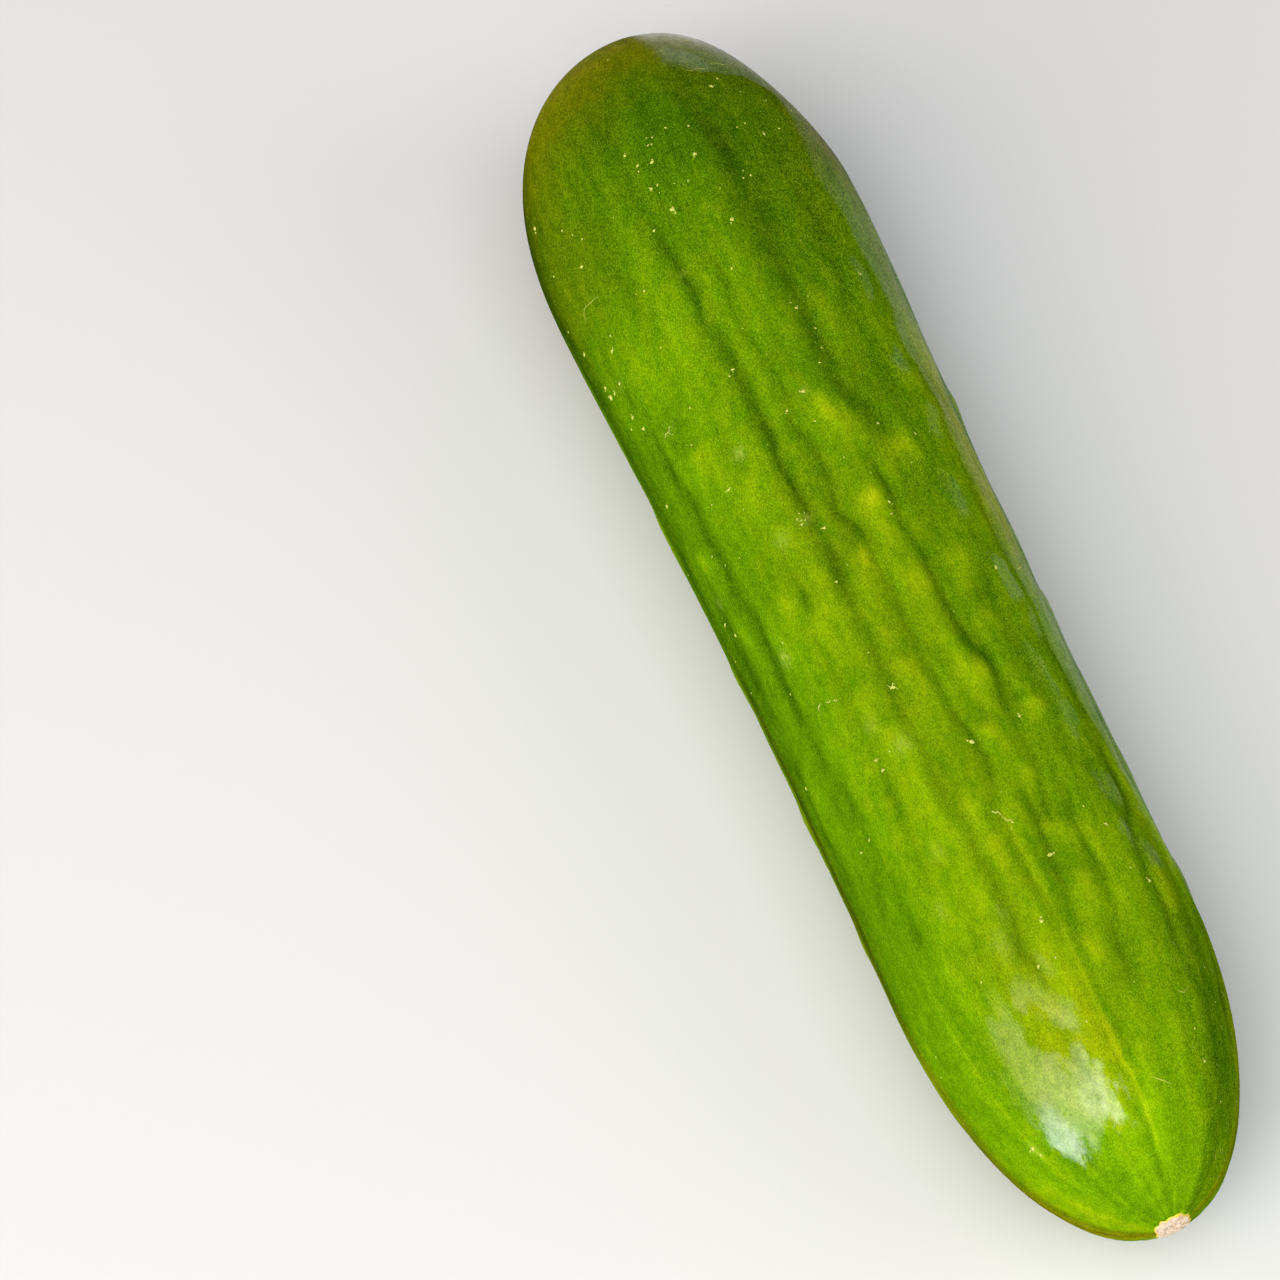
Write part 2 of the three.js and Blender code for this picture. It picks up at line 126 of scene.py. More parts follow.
# A lump is steep towards the stem end, at its head, and has a tail. Shares of its half length and width.
LUMP_SHAPE = {"head": 0.6, "tail": 1.3, "lead": 0.3}
LUMP_HEAD = {"reach": 0.55, "width": 0.55, "seed": 12, "least": 0.4}  # the bright tip of a lump: partly yellower skin, partly a painted highlight
LUMP_POCKET_SHADE = {"ahead": 0.95, "reach": 0.4, "width": 1.0, "strength": 0.7}  # painted shade in the hollow before it
LUMP_HEAD_FADE = {"share": 0.75, "from": 130.0, "to": 144.0}  # both grow faint near the blossom end

BLOSSOM_DIP = {"along": 165.0, "around": -34.0, "half_length": 9.0, "half_width": 4.8, "depth": 0.32}
WANDER = {"seed": 27, "cell": 4.5, "columns": 42, "rows": 30, "shift": 13.5, "along": 1.6, "around": 2.4}

WRINKLES = {
    "seed": 20, "cell": 12.5, "columns": 24, "rows": 34,
    "depth": 0.13, "sharpness": 0.3, "sway": 0.55,
}
SWELLS = {"seed": 5, "cell": 8.5, "columns": 32, "rows": 26, "height": 0.15}
SWAY = {"seed": 9, "cell": 17.0, "columns": 18, "rows": 15}
RUGGED = {"base": 0.74, "swing": 0.3, "around": 55.0}  # the +Y flank is the more wrinkled one
RELIEF_FADE_IN = (8.0, 62.0)
RELIEF_FADE_OUT = (146.0, 176.0)
RELIEF_AT_BLOSSOM = 0.25

# ---------------------------------------------------------------- small sums

STREAM_START = 7919
STREAM_FACTOR = 16807
STREAM_LIMIT = 2147483647


def smoothstep(value, low, high):
    share = np.clip((value - low) / (high - low), 0.0, 1.0)
    return share * share * (3.0 - 2.0 * share)


def lerp(start, end, share):
    return start + (end - start) * share


def bell(distance, width):
    return np.exp(-((distance / width) ** 2))


def turn_between(start, end):
    """The shortest turn from one angle to another, in degrees."""
    return np.mod(end - start + 180.0, 360.0) - 180.0


def sideways(centre_around, around, radius):
    """Distance around the skin from a lengthwise line, in millimetres, growing towards +Y."""
    return np.radians(turn_between(centre_around, around)) * radius


def shown_between(along, start, end, fade_in, fade_out):
    """1 between two places along the fruit, easing in after the first and out before the second."""
    return smoothstep(along, start, start + fade_in) * (1.0 - smoothstep(along, end - fade_out, end))


def random_stream(seed, count):
    """A repeatable run of numbers between 0 and 1."""
    state = seed * STREAM_START
    values = np.empty(count)
    for index in range(count):
        state = (state * STREAM_FACTOR) % STREAM_LIMIT
        values[index] = state / STREAM_LIMIT
    return values


def random_rows(seed, rows, columns):
    return random_stream(seed, rows * columns).reshape(rows, columns)


def make_noise(pattern):
    """Smooth noise between -1 and 1 on a lattice that wraps both ways."""
    columns, rows = pattern["columns"], pattern["rows"]
    lattice = random_rows(pattern["seed"], columns, rows) * 2.0 - 1.0

    def noise(u, v):
        column = np.floor(u).astype(int)
        row = np.floor(v).astype(int)
        ease_u = smoothstep(u - column, 0.0, 1.0)
        ease_v = smoothstep(v - row, 0.0, 1.0)
        left, right = column % columns, (column + 1) % columns
        below, above = row % rows, (row + 1) % rows
        near = lerp(lattice[left, below], lattice[right, below], ease_u)
        far = lerp(lattice[left, above], lattice[right, above], ease_u)
        return lerp(near, far, ease_v)

    return noise


wrinkle_noise = make_noise(WRINKLES)
swell_noise = make_noise(SWELLS)
sway_noise = make_noise(SWAY)
wander_noise = make_noise(WANDER)


# ---------------------------------------------------------------- the form of the fruit


def trunk_radius(along):
    """Radius of the trunk before its ends round off: a parabola through the three stations."""
    share = along / LENGTH
    total = 0.0
    for station, radius in zip(RADIUS_STATIONS, STATION_RADII):
        weight = 1.0
        for other in RADIUS_STATIONS:
            if other != station:
                weight = weight * (share - other) / (station - other)
        total = total + radius * weight
    return total


def cap_share(distance, cap):
    left = np.clip(1.0 - distance / cap["length"], 0.0, 1.0)
    return np.sqrt(np.maximum(0.0, 1.0 - left ** cap["power"]))


def body_radius(along, around):
    facing = np.clip(np.cos(np.radians(turn_between(SHOULDER_FLAT["around"], around))), 0.0, 1.0)
    nearness = bell(along - SHOULDER_FLAT["along"], SHOULDER_FLAT["reach"])
    shoulder = 1.0 - SHOULDER_FLAT["share"] * nearness * facing**2
    rounded = cap_share(along, STEM_CAP) * cap_share(LENGTH - along, BLOSSOM_CAP)
    return trunk_radius(along) * rounded * shoulder


def relief_share(along, around):
    """How much of the wrinkled relief shows at a place on the skin."""
    fade_in = smoothstep(along, *RELIEF_FADE_IN)
    fade_out = lerp(1.0, RELIEF_AT_BLOSSOM, smoothstep(along, *RELIEF_FADE_OUT))
    rugged = RUGGED["base"] + RUGGED["swing"] * np.cos(np.radians(around - RUGGED["around"]))
    return fade_in * fade_out * rugged


def route_around(route, along):
    """Where a route runs at each place along the fruit, easing from point to point."""
    stops = np.array(route, dtype=float)
    after = np.clip(np.searchsorted(stops[:, 0], along), 1, len(stops) - 1)
    start, end = stops[after - 1], stops[after]
    share = smoothstep(along, start[..., 0], end[..., 0])
    return lerp(start[..., 1], end[..., 1], share)


def wandered(along, around):
    """Skin coordinates pushed about a little, so that furrows and lumps are never quite regular."""
    u = along / WANDER["cell"]
    v = around / 360.0 * WANDER["rows"]
    pushed_along = along + WANDER["along"] * wander_noise(u, v)
    pushed_around = around + WANDER["around"] * wander_noise(u + WANDER["shift"], v)
    return pushed_along, pushed_around


def beside_route(route, along, around, radius):
    """Distance from a route in millimetres, and how strongly the route shows there."""
    start, end = route[0][0], route[-1][0]
    strength = shown_between(along, start - FURROW_TAPER, end + FURROW_TAPER, FURROW_TAPER, FURROW_TAPER)
    reached = np.clip(along, start, end)
    return np.abs(sideways(route_around(route, reached), around, radius)), strength


def furrow_flux(along, index):
    noise = wander_noise(along / FURROW_FLUX["cell"], index * FURROW_FLUX["apart"])
    return 1.0 + FURROW_FLUX["share"] * noise


def furrow_relief(along, around, radius):
    along, around = wandered(along, around)
    height = np.zeros_like(along)
    for index, (depth, width, route) in enumerate(FURROWS):
        offset, strength = beside_route(route, along, around, radius)
        bank = FURROW_BANK["share"] * bell(offset - FURROW_BANK["offset"], FURROW_BANK["width"])
        height += depth * furrow_flux(along, index) * strength * (bank - bell(offset, width))
    return height


def furrow_shade_lines(along, around, radius):
    """Painted shade: the thin dark line along the bottom of each deeper furrow, from 0 to 1."""
    along, around = wandered(along, around)
    line = np.zeros_like(along)
    for index, (depth, width, route) in enumerate(FURROWS):
        offset, strength = beside_route(route, along, around, radius)
        deep = smoothstep(depth * furrow_flux(along, index), FURROW_SHADE_LINE["faint"], FURROW_SHADE_LINE["full"])
        line += deep * strength * bell(offset, FURROW_SHADE_LINE["width"] * width)
    return line


def past_head(along, centre_along, half_length):
    """Distance past the head of a lump, in millimetres."""
    return along - centre_along + LUMP_SHAPE["lead"] * half_length


def lump_relief(along, around, radius):
    along, around = wandered(along, around)
    height = np.zeros_like(along)
    for centre_along, centre_around, half_length, half_width, rise in LUMPS:
        ahead = past_head(along, centre_along, half_length)
        reach = half_length * np.where(ahead < 0.0, LUMP_SHAPE["head"], LUMP_SHAPE["tail"])
        height += rise * bell(ahead, reach) * bell(sideways(centre_around, around, radius), half_width)
    return height


def lump_heads(along, around, radius):
    """How strongly the bright head of a lump shows, partly yellower skin and partly a painted highlight, less
    the painted shade in the hollow in front of it.
    """
    along, around = wandered(along, around)
    vividness = LUMP_HEAD["least"] + random_stream(LUMP_HEAD["seed"], len(LUMPS))
    marks = np.zeros_like(along)
    for (centre_along, centre_around, half_length, half_width, rise), vivid in zip(LUMPS, vividness):
        ahead = past_head(along, centre_along, half_length) / half_length
        beside = sideways(centre_around, around, radius) / half_width
        head = bell(ahead, LUMP_HEAD["reach"]) * bell(beside, LUMP_HEAD["width"])
        pocket_shade = bell(ahead + LUMP_POCKET_SHADE["ahead"], LUMP_POCKET_SHADE["reach"]) * bell(beside, LUMP_POCKET_SHADE["width"])
        marks += rise * (vivid * head - LUMP_POCKET_SHADE["strength"] * pocket_shade)
    fading = smoothstep(along, LUMP_HEAD_FADE["from"], LUMP_HEAD_FADE["to"])
    return marks * (1.0 - LUMP_HEAD_FADE["share"] * fading)


def dip_relief(along, around, radius):
    """The flattened patch beside the blossom end."""
    reach = bell(along - BLOSSOM_DIP["along"], BLOSSOM_DIP["half_length"])
    beside = sideways(BLOSSOM_DIP["around"], around, radius)
    return -BLOSSOM_DIP["depth"] * reach * bell(beside, BLOSSOM_DIP["half_width"])


def wrinkle_relief(along, around):
    """A net of meandering wrinkles with soft swellings between them."""
    turn = around / 360.0
    sway = WRINKLES["sway"] * sway_noise(along / SWAY["cell"], turn * SWAY["rows"])
    wrinkle = wrinkle_noise(along / WRINKLES["cell"], turn * WRINKLES["rows"] + sway)
    swell = swell_noise(along / SWELLS["cell"], turn * SWELLS["rows"] + sway)
    return SWELLS["height"] * swell - WRINKLES["depth"] * bell(wrinkle, WRINKLES["sharpness"])


def ray_relief(to_blossom, around, radius):
    """Creases that gather towards the blossom scar."""
    count = BLOSSOM_RAYS["count"]
    gather = smoothstep(radius, BLOSSOM_SCAR["radius"], BLOSSOM_RAYS["clear"])
    fade = gather * (1.0 - smoothstep(to_blossom, BLOSSOM_RAYS["start"], BLOSSOM_RAYS["end"]))
    width = BLOSSOM_RAYS["width"] + BLOSSOM_RAYS["widening"] * radius
    height = np.zeros_like(around)
    for index, (shift, strength) in enumerate(random_rows(BLOSSOM_RAYS["seed"], count, 2)):
        ray_around = (index + BLOSSOM_RAYS["jitter"] * shift) * 360.0 / count
        depth = BLOSSOM_RAYS["depth"] * lerp(BLOSSOM_RAYS["shallowest"], 1.0, strength)
        height -= depth * bell(sideways(ray_around, around, radius), width)
    return height * fade


def scar_relief(scar, around, radius):
    """A scar's disc stands a little proud, with a ragged rim and a pit at its centre."""
    angle = np.radians(around)
    coarse = np.sin(scar["teeth"] * angle)
    fine = np.sin((scar["teeth"] * 2 + 1) * angle + 1.0)
    edge = scar["radius"] * (1.0 + scar["ragged"] * lerp(coarse, fine, SCAR_FINE_TEETH) / 2.0)
    disc = 1.0 - smoothstep(radius, edge - scar["rim"], edge + scar["rim"])
    return scar["height"] * disc - scar["pit"] * bell(radius, scar["radius"] * SCAR_PIT_SHARE)


def body_relief(along, around, radius):
    """Furrows, lumps and wrinkles of the trunk, without its ends."""
    calm = smoothstep(np.abs(turn_between(180.0, around)), *BELLY_CALM)
    wrinkled = wrinkle_relief(along, around) * relief_share(along, around)
    return (wrinkled + furrow_relief(along, around, radius) + lump_relief(along, around, radius)) * calm


def end_relief(along, around, radius):
    to_blossom = LENGTH - along
    blossom = ray_relief(to_blossom, around, radius) + scar_relief(BLOSSOM_SCAR, around, radius)
    dimple = -STEM_DIMPLE["depth"] * bell(radius, STEM_DIMPLE["radius"])
    stem = dimple + scar_relief(STALK_SCAR, around, radius)
    return np.where(along > to_blossom, blossom, stem)


def along_at(swing):
    """Place along the fruit at a swing of 0, the stem pole, to pi, the blossom pole."""
    return LENGTH * (1.0 - np.cos(swing)) / 2.0


def swing_at(along):
    return np.arccos(1.0 - 2.0 * np.asarray(along, dtype=float) / LENGTH)


def skin_points(swing, around, lift=0.0):
    """Points on the skin, in millimetres, before the fruit is centred over the origin."""
    around = np.asarray(around, dtype=float)
    along = along_at(swing)
    radius = body_radius(along, around)
    before = along_at(np.maximum(0.0, swing - SLOPE_STEP))
    after = along_at(np.minimum(math.pi, swing + SLOPE_STEP))
    rise = body_radius(after, around) - body_radius(before, around)
    run = after - before
    slope = np.hypot(rise, run)
    height = body_relief(along, around, radius) + dip_relief(along, around, radius)
    height = height + end_relief(along, around, radius) + lift
    outward = radius + height * run / slope
    angle = np.radians(around)
    middle = 2.0 * along / LENGTH - 1.0
    x = along - height * rise / slope - LENGTH / 2.0
    y = outward * np.sin(angle) + SIDE_BOW * (1.0 - middle**2)
    z = outward * np.cos(angle) + trunk_radius(along) - BELLY_SINK
    return np.stack([x, y, np.maximum(z, 0.0)], axis=-1)


def skin_swings():
    """Swings from pole to pole, with the rings evenly apart along the skin and closer near both ends."""
    fine = np.linspace(0.0, math.pi, PROFILE_SAMPLES)
    profile = np.stack([along_at(fine), body_radius(along_at(fine), 0.0)], axis=-1)
    steps = np.linalg.norm(np.diff(profile, axis=0), axis=1)
    distance = np.concatenate([[0.0], np.cumsum(steps)])
    reach, rings = END_ZONE["reach"], END_ZONE["rings"]
    near = np.linspace(0.0, reach, rings, endpoint=False)
    middle = np.linspace(reach, distance[-1] - reach, SKIN_RINGS + 2 - 2 * rings)
    stops = np.concatenate([near, middle, distance[-1] - near[::-1]])
    return np.interp(stops[1:-1], distance, fine)


# ---------------------------------------------------------------- colour laid on the skin

# Tone runs from dark to light, and warmth from leaf green to olive.
BASE_TONE = 0.545  # at the stem pole
TONE_STEPS = [(1.0, 17.0, -0.16), (26.0, 62.0, 0.15), (90.0, 130.0, 0.03), (156.0, 172.0, 0.08)]
BASE_WARMTH = 1.03
WARMTH_STEPS = [(2.0, 27.0, -0.95)]
BASE_GRAIN = 0.9
GRAIN_STEPS = [(24.0, 120.0, -0.24)]
GRAIN_ON_FLANK = {"more": 0.5, "reach": 35.0}

# Relief makes raised skin lighter and furrows darker: partly the skin's own colour, partly painted light and
# shade. Lumps are partly lighter skin and partly painted light, and lump heads partly yellower skin and partly
# a painted highlight. The dark furrow lines, the dark pockets and the darker creases are painted shade.
TONE_OF = {  # what each mark on the skin adds to the tone
    "relief": 0.32, "lump": 0.12, "lump_head": 0.27, "furrow_core": -0.13, "shaded_pocket": -1.0,
    "crease": 1.8, "blossom_stripe": 0.08, "wax_rim": -0.07,
}
WARMTH_OF = {"raised": 0.4, "lump": 0.25, "lump_head": 0.55, "crease": 2.4}
WARM_HEIGHT = 0.3  # skin raised higher than this is no warmer

BAND_FADE = {"in": 18.0, "out": 14.0}  # how far a band takes to come and go
# Besides the skin's own stripes, the darker bands low on both flanks and along the edges of the blossom end
# are painted shade.
TONE_BANDS = [  # around, half width in degrees, lighter or darker, from along, to along
    (-119, 4, -0.05, 50, 130), (-112, 15, -0.26, 146, 200), (-106, 4, 0.05, 40, 130),
    (-98, 10, -0.1, 148, 200), (-94, 5, -0.12, 84, 164), (-93, 9, -0.26, 0, 150),
    (-82, 13, -0.08, -14, 36), (-82, 3.0, -0.06, 74, 148), (-76, 9, -0.06, 50, 150),
    (-73, 8, 0.11, 158, 200), (-65, 5, 0.07, 138, 172), (-64, 3.5, -0.06, 64, 142),
    (-62, 13, -0.04, 44, 196), (-58, 9, -0.05, 134, 166), (-55, 5, 0.05, 30, 64),
    (-48, 6, 0.09, 158, 200), (-47, 4, -0.05, 22, 60), (-45, 20, 0.03, 34, 190),
    (-45, 12, -0.02, 56, 140), (-44, 5, 0.05, 146, 172), (-42, 24, -0.09, 158, 196),
    (-37, 6, 0.06, 20, 64), (-36, 14, -0.06, 160, 200), (-32, 10, -0.05, 4, 30), (-29, 4, -0.06, 14, 48),
    (-27, 4.5, 0.08, 106, 150), (-26, 13, 0.04, 140, 166), (-25, 5, -0.1, 46, 78),
    (-24, 3.6, -0.08, 38, 120), (-20, 9, 0.06, 150, 186), (-17.5, 2.2, 0.06, 42, 80),
    (-14, 7, -0.05, 54, 116), (-13, 6, 0.1, 140, 178), (-12, 8, -0.07, 6, 42), (-11, 5, 0.07, 134, 160),
    (-8, 3.0, 0.06, 26, 64), (-8, 5, 0.08, 158, 184), (-1, 3.5, 0.04, 44, 80), (0, 5, -0.04, 26, 54),
    (2, 5, 0.15, 152, 184), (4, 3.5, 0.09, 58, 120), (8, 7.0, -0.08, 12, 84), (11, 4, 0.12, 100, 134),
    (11, 5, -0.07, 154, 190), (15, 9, -0.04, 50, 104), (23, 7, 0.07, 126, 174), (26, 7, 0.07, 64, 156),
    (29, 3.5, -0.05, 26, 134), (31, 6, 0.06, 12, 46), (38, 5, 0.05, 140, 168), (42, 5, 0.08, 64, 102),
    (42, 14, -0.06, 158, 200), (44, 16, -0.1, 150, 200), (50, 6, -0.06, 116, 148),
    (50, 9, -0.1, 136, 176), (58, 8, 0.07, 116, 152), (59, 11, 0.1, 22, 140), (60, 14, -0.12, 130, 178),
    (60, 7, 0.08, 132, 172), (61, 7, -0.07, 16, 64), (62, 7, -0.05, 84, 136), (64, 16, -0.07, 158, 200),
    (66, 9, 0.1, 116, 148), (78, 4, -0.06, 40, 150), (82, 12, -0.16, 154, 200), (89, 5, 0.06, 30, 160),
    (99, 3.5, -0.07, 56, 150), (110, 6, 0.05, 40, 150), (123, 4, -0.05, 50, 140),
    (150, 45, 0.06, 30, 165),
]
# The warmest band browns the painted shade along the -Y edge of the blossom end.
WARM_BANDS = [  # around, half width in degrees, warmer or cooler, from along, to along
    (-113, 15, 1.0, 146, 200), (-96, 6, 0.5, 84, 164), (-84, 22, 0.24, 0, 46), (-79, 8, 0.2, 158, 200),
    (-70, 16, -0.2, 44, 176), (-65, 6, 0.15, 140, 176), (-64, 6, -0.1, 70, 145), (-62, 14, 0.12, 6, 46),
    (-45, 8, 0.22, 146, 200), (-40, 18, -0.3, 158, 200), (-26, 16, 0.2, 136, 168),
    (-20, 24, 0.13, 66, 176), (-20, 12, 0.12, 148, 190), (-12, 10, -0.3, 4, 40), (-9, 8, 0.15, 140, 178),
    (2, 24, -0.35, 162, 200), (30, 8, 0.15, 20, 54), (42, 7, 0.4, 10, 42), (56, 8, 0.75, -14, 40),
    (56, 12, 0.32, 50, 100), (56, 12, 0.15, 104, 150), (60, 9, 0.28, 14, 104), (78, 10, 0.5, 140, 200),
    (180, 40, 0.08, 20, 165),
]
SHADED_POCKETS = [  # painted shade in small hollows between lumps: along, around, half length, half width, darker
    (87.5, -13, 2.2, 1.2, 0.08), (91.5, -37, 1.2, 0.8, 0.12), (116, 5, 2.4, 1.4, 0.08),
    (99.5, 23, 1.4, 1.2, 0.08), (84.5, 14, 1.4, 2.2, 0.07), (91, -19, 1.8, 1.1, 0.06),
    (119.5, -50, 1.6, 1.4, 0.06), (128, -66, 2.2, 2, 0.08), (136.5, -56, 2.4, 1.6, 0.07),
    (139, 19, 1.2, 1.2, 0.06), (154, 14, 1.1, 4.2, 0.06), (109.5, 8.5, 3.0, 1.8, 0.06),
    (136, 3, 3, 0.7, 0.08), (132.5, -21.5, 2.4, 0.6, 0.06), (95, -61.5, 3.5, 1.1, 0.07),
    (105, -62, 3, 0.7, 0.06),
]
PALE_SPOTS = [  # along, around, half length, half width, strength
    (70, -36, 0.8, 0.8, 0.6), (96, -56.5, 1.0, 0.7, 0.6), (83.4, -36, 1.0, 0.9, 0.3),
    (82.6, -25, 0.6, 1.0, 0.3), (115.5, -28, 1.2, 1.1, 0.3), (111, -36, 1.0, 0.9, 0.2),
    (136.5, -42, 1.2, 0.7, 0.2), (130, -34, 0.9, 0.9, 0.2), (82, -79, 0.9, 0.7, 0.3),
    (144.5, -27, 1.8, 1.0, 0.25), (141, -22, 1.2, 0.5, 0.25), (44.6, -25.5, 0.3, 0.9, 0.16),
    (60.5, -59, 0.35, 1.4, 0.2), (49.6, -71, 0.6, 0.8, 0.2), (66.7, -5, 0.6, 0.7, 0.25),
    (166, -64.5, 0.9, 0.5, 0.4),
]
CREASES = [  # fine lines in colour alone, the lighter ones yellowish lines of the skin and the darker ones painted shadow beside them: lighter or darker, half width, route of (along, around)
    (0.05, 0.3, [
        (134, -6), (142, -5), (146, -4.2), (150, -5), (158, -4.4), (162, -3.8), (166, -1.4), (171, -0.8),
    ]),
    (0.05, 0.3, [(160, -4.2), (162, -3.8), (166, -1.4), (171, -0.8)]),
    (0.05, 0.22, [(150, -63), (160, -63.5), (168, -64)]),
    (0.03, 0.4, [(144, 34), (151, 37), (158, 39)]),
    (0.02, 0.3, [(163, 34), (170, 36)]),
    (-0.05, 0.6, [(138, -2), (143, 0.2), (150, -2.2), (155, -2), (159, -0.6), (161, 0)]),
    (-0.07, 0.5, [(173, -4.6), (175, -4.8)]),
]
BLOSSOM_STRIPES = {  # light and dark rays that gather at the blossom scar, in degrees
    "count": 23, "seed": 33, "jitter": 0.8, "narrowest": 1.8, "spread": 4.0,
    "dark_share": 0.45, "dark": -1.2, "from": 150.0, "to": 172.0,
}

WAX_SEAM = -110.0  # low on the -Y side: turns counted from here cross the waxy side without a break
WAX_EDGE = [  # along, around: where the bright waxy side of the fruit begins
    (4, 2), (9, 2), (14, 2), (16.4, 4), (17.2, 11), (17.8, 34), (21, 43), (27, 40), (34, 40), (44, 44),
    (52, 47), (60, 44), (66, 48), (76, 50), (85, 48), (97, 49), (110, 49), (122, 55), (136, 64),
    (148, 84), (158, 112), (170, 150),
]
WAX_STRENGTH = [  # along, strength on that side
    (2, 1.0), (8, 1.0), (12, 0.62), (17, 0.34), (24, 0.24), (33, 0.22), (42, 0.36), (58, 0.4), (66, 0.32),
    (91, 0.28), (94, 0.39), (110, 0.39), (116, 0.3), (140, 0.26),
]
WAX_TEAR = {"at_stem": 5.0, "beyond": 3.0, "from": 14.0, "to": 24.0}  # half width of the torn edge, in degrees
WAX_HIDDEN = {"share": 0.25, "from": 72.0, "to": 104.0}  # the wax thins out towards the underside
WAX_END = (215.0, 245.0)  # and is gone before it comes round to the -Y side
WAX_RIM = {"from": 56.0, "to": 124.0, "fade": 8.0, "offset": -1.2, "width": 1.1}
DULL_STEM = {"wax": 0.06, "from": 4.0, "to": 13.0}  # a faint shine all round the stem end
WAX_PATCHES = [  # along, around, half length, half width, strength
    (165.3, -45.5, 4.4, 2.5, 1.0), (164.8, -20.5, 4.6, 2.3, 0.72), (164.6, -31, 4.8, 4.2, 1.0),
    (160.6, -43, 4.6, 3.4, 0.9), (156.0, -42, 4.6, 2.4, 0.9), (150.6, -40, 2.6, 0.9, 0.5),
    (151.4, -27, 2.4, 2.2, 0.9), (155.0, -19, 2.6, 2.0, 0.7), (148.6, -15.5, 1.8, 0.9, 0.8),
    (153, -23, 1.8, 1.6, 0.6), (64.5, 37.5, 2.2, 1.2, 0.34), (84.5, 33, 3.4, 1.7, 0.28),
    (98, 40, 3.2, 1.5, 0.42), (112, 35, 4.4, 1.2, 0.26), (118, 37, 2.8, 1.6, 0.26),
    (127.5, 41, 1.7, 2.4, 0.2), (135, 38, 2.5, 1.3, 0.23), (139, 47, 1.8, 2.0, 0.2),
    (128, 62, 9.0, 2.4, 0.17), (52, 38, 3.0, 1.0, 0.22), (74, 42, 3.0, 1.2, 0.2),
    (104, 44, 3.0, 1.0, 0.2),
]
WAX_PATCH_EDGE = 0.5  # share of a patch that its edge takes, inwards and outwards
WAX_RAGS = {"depth": 0.42, "cell": 1.5, "rows": 104}  # how far a patch's outline goes in and out


def stepped(base, steps, along):
    """A value that changes by a given amount from one place along the fruit to another."""
    return base + sum(change * smoothstep(along, start, end) for start, end, change in steps)


def banded(bands, along, around):
    total = np.zeros_like(along)
    for centre_around, half_width, shift, start, end in bands:
        reach = shown_between(along, start, end, BAND_FADE["in"], BAND_FADE["out"])
        total += shift * reach * bell(turn_between(centre_around, around), half_width)
    return total


def spotted(spots, along, around, radius):
    total = np.zeros_like(along)
    for centre_along, centre_around, half_length, half_width, strength in spots:
        beside = sideways(centre_around, around, radius)
        total += strength * bell(along - centre_along, half_length) * bell(beside, half_width)
    return total


def crease_lines(along, around, radius):
    total = np.zeros_like(along)
    for shift, width, route in CREASES:
        offset, strength = beside_route(route, along, around, radius)
        total += shift * strength * bell(offset, width)
    return total


def blossom_stripes(along, around):
    count = BLOSSOM_STRIPES["count"]
    stripes = np.zeros_like(along)
    for index, (shift, spread, sign) in enumerate(random_rows(BLOSSOM_STRIPES["seed"], count, 3)):
        stripe_around = (index + BLOSSOM_STRIPES["jitter"] * shift) * 360.0 / count
        half_width = BLOSSOM_STRIPES["narrowest"] + BLOSSOM_STRIPES["spread"] * spread
        light = 1.0 if sign > BLOSSOM_STRIPES["dark_share"] else BLOSSOM_STRIPES["dark"]
        stripes += light * bell(turn_between(stripe_around, around), half_width)
    return stripes * smoothstep(along, BLOSSOM_STRIPES["from"], BLOSSOM_STRIPES["to"])


def turn_from_seam(around):
    return np.mod(around - WAX_SEAM, 360.0) + WAX_SEAM


def past_wax_edge(along, around):
    """Degrees past the edge of the waxy side, pushed about like the furrows."""
    along, around = wandered(along, around)
    edge = route_around(WAX_EDGE, np.clip(along, WAX_EDGE[0][0], WAX_EDGE[-1][0]))
    return turn_from_seam(around) - edge


def wax_rim(along, around):
    """A thin darker line just outside the waxy side."""
    reach = shown_between(along, WAX_RIM["from"], WAX_RIM["to"], WAX_RIM["fade"], WAX_RIM["fade"])
    return reach * bell(past_wax_edge(along, around) - WAX_RIM["offset"], WAX_RIM["width"])


def skin_wax(along, around, radius):
    """How shiny the wax is, and how surely it covers the skin, both from 0 to 1."""
    strength = np.interp(along, *np.array(WAX_STRENGTH, dtype=float).T)
    tear = lerp(WAX_TEAR["at_stem"], WAX_TEAR["beyond"], smoothstep(along, WAX_TEAR["from"], WAX_TEAR["to"]))
    turned = turn_from_seam(around)
    cover = smoothstep(past_wax_edge(along, around) / tear, -1.0, 1.0)
    cover = cover * (1.0 - smoothstep(turned, *WAX_END))
    thinned = lerp(1.0, WAX_HIDDEN["share"], smoothstep(turned, WAX_HIDDEN["from"], WAX_HIDDEN["to"]))
    dull = DULL_STEM["wax"] * (1.0 - smoothstep(along, DULL_STEM["from"], DULL_STEM["to"]))
    wax = np.maximum(strength * cover * thinned, dull)
    cover = np.maximum(cover, dull > 0.0)
    rags = WAX_RAGS["depth"] * swell_noise(along / WAX_RAGS["cell"], around / 360.0 * WAX_RAGS["rows"])
    along, around = wandered(along, around)
    for centre_along, centre_around, half_length, half_width, shine in WAX_PATCHES:
        beside = sideways(centre_around, around, radius)
        distance = np.hypot((along - centre_along) / half_length, beside / half_width) + rags
        patch = 1.0 - smoothstep(distance, 1.0 - WAX_PATCH_EDGE, 1.0 + WAX_PATCH_EDGE)
        cover = np.maximum(cover, patch)
        wax = np.maximum(wax, shine * np.sqrt(patch))
    return wax, cover


def skin_grain(along, around):
    """The leathery grain is strongest at the stem end and on the +Y flank."""
    on_flank = smoothstep(turn_between(0.0, around), 0.0, GRAIN_ON_FLANK["reach"])
    return stepped(BASE_GRAIN, GRAIN_STEPS, along) * (1.0 + GRAIN_ON_FLANK["more"] * on_flank)


def weighed(marks, weights):
    return sum(weight * marks[name] for name, weight in weights.items())


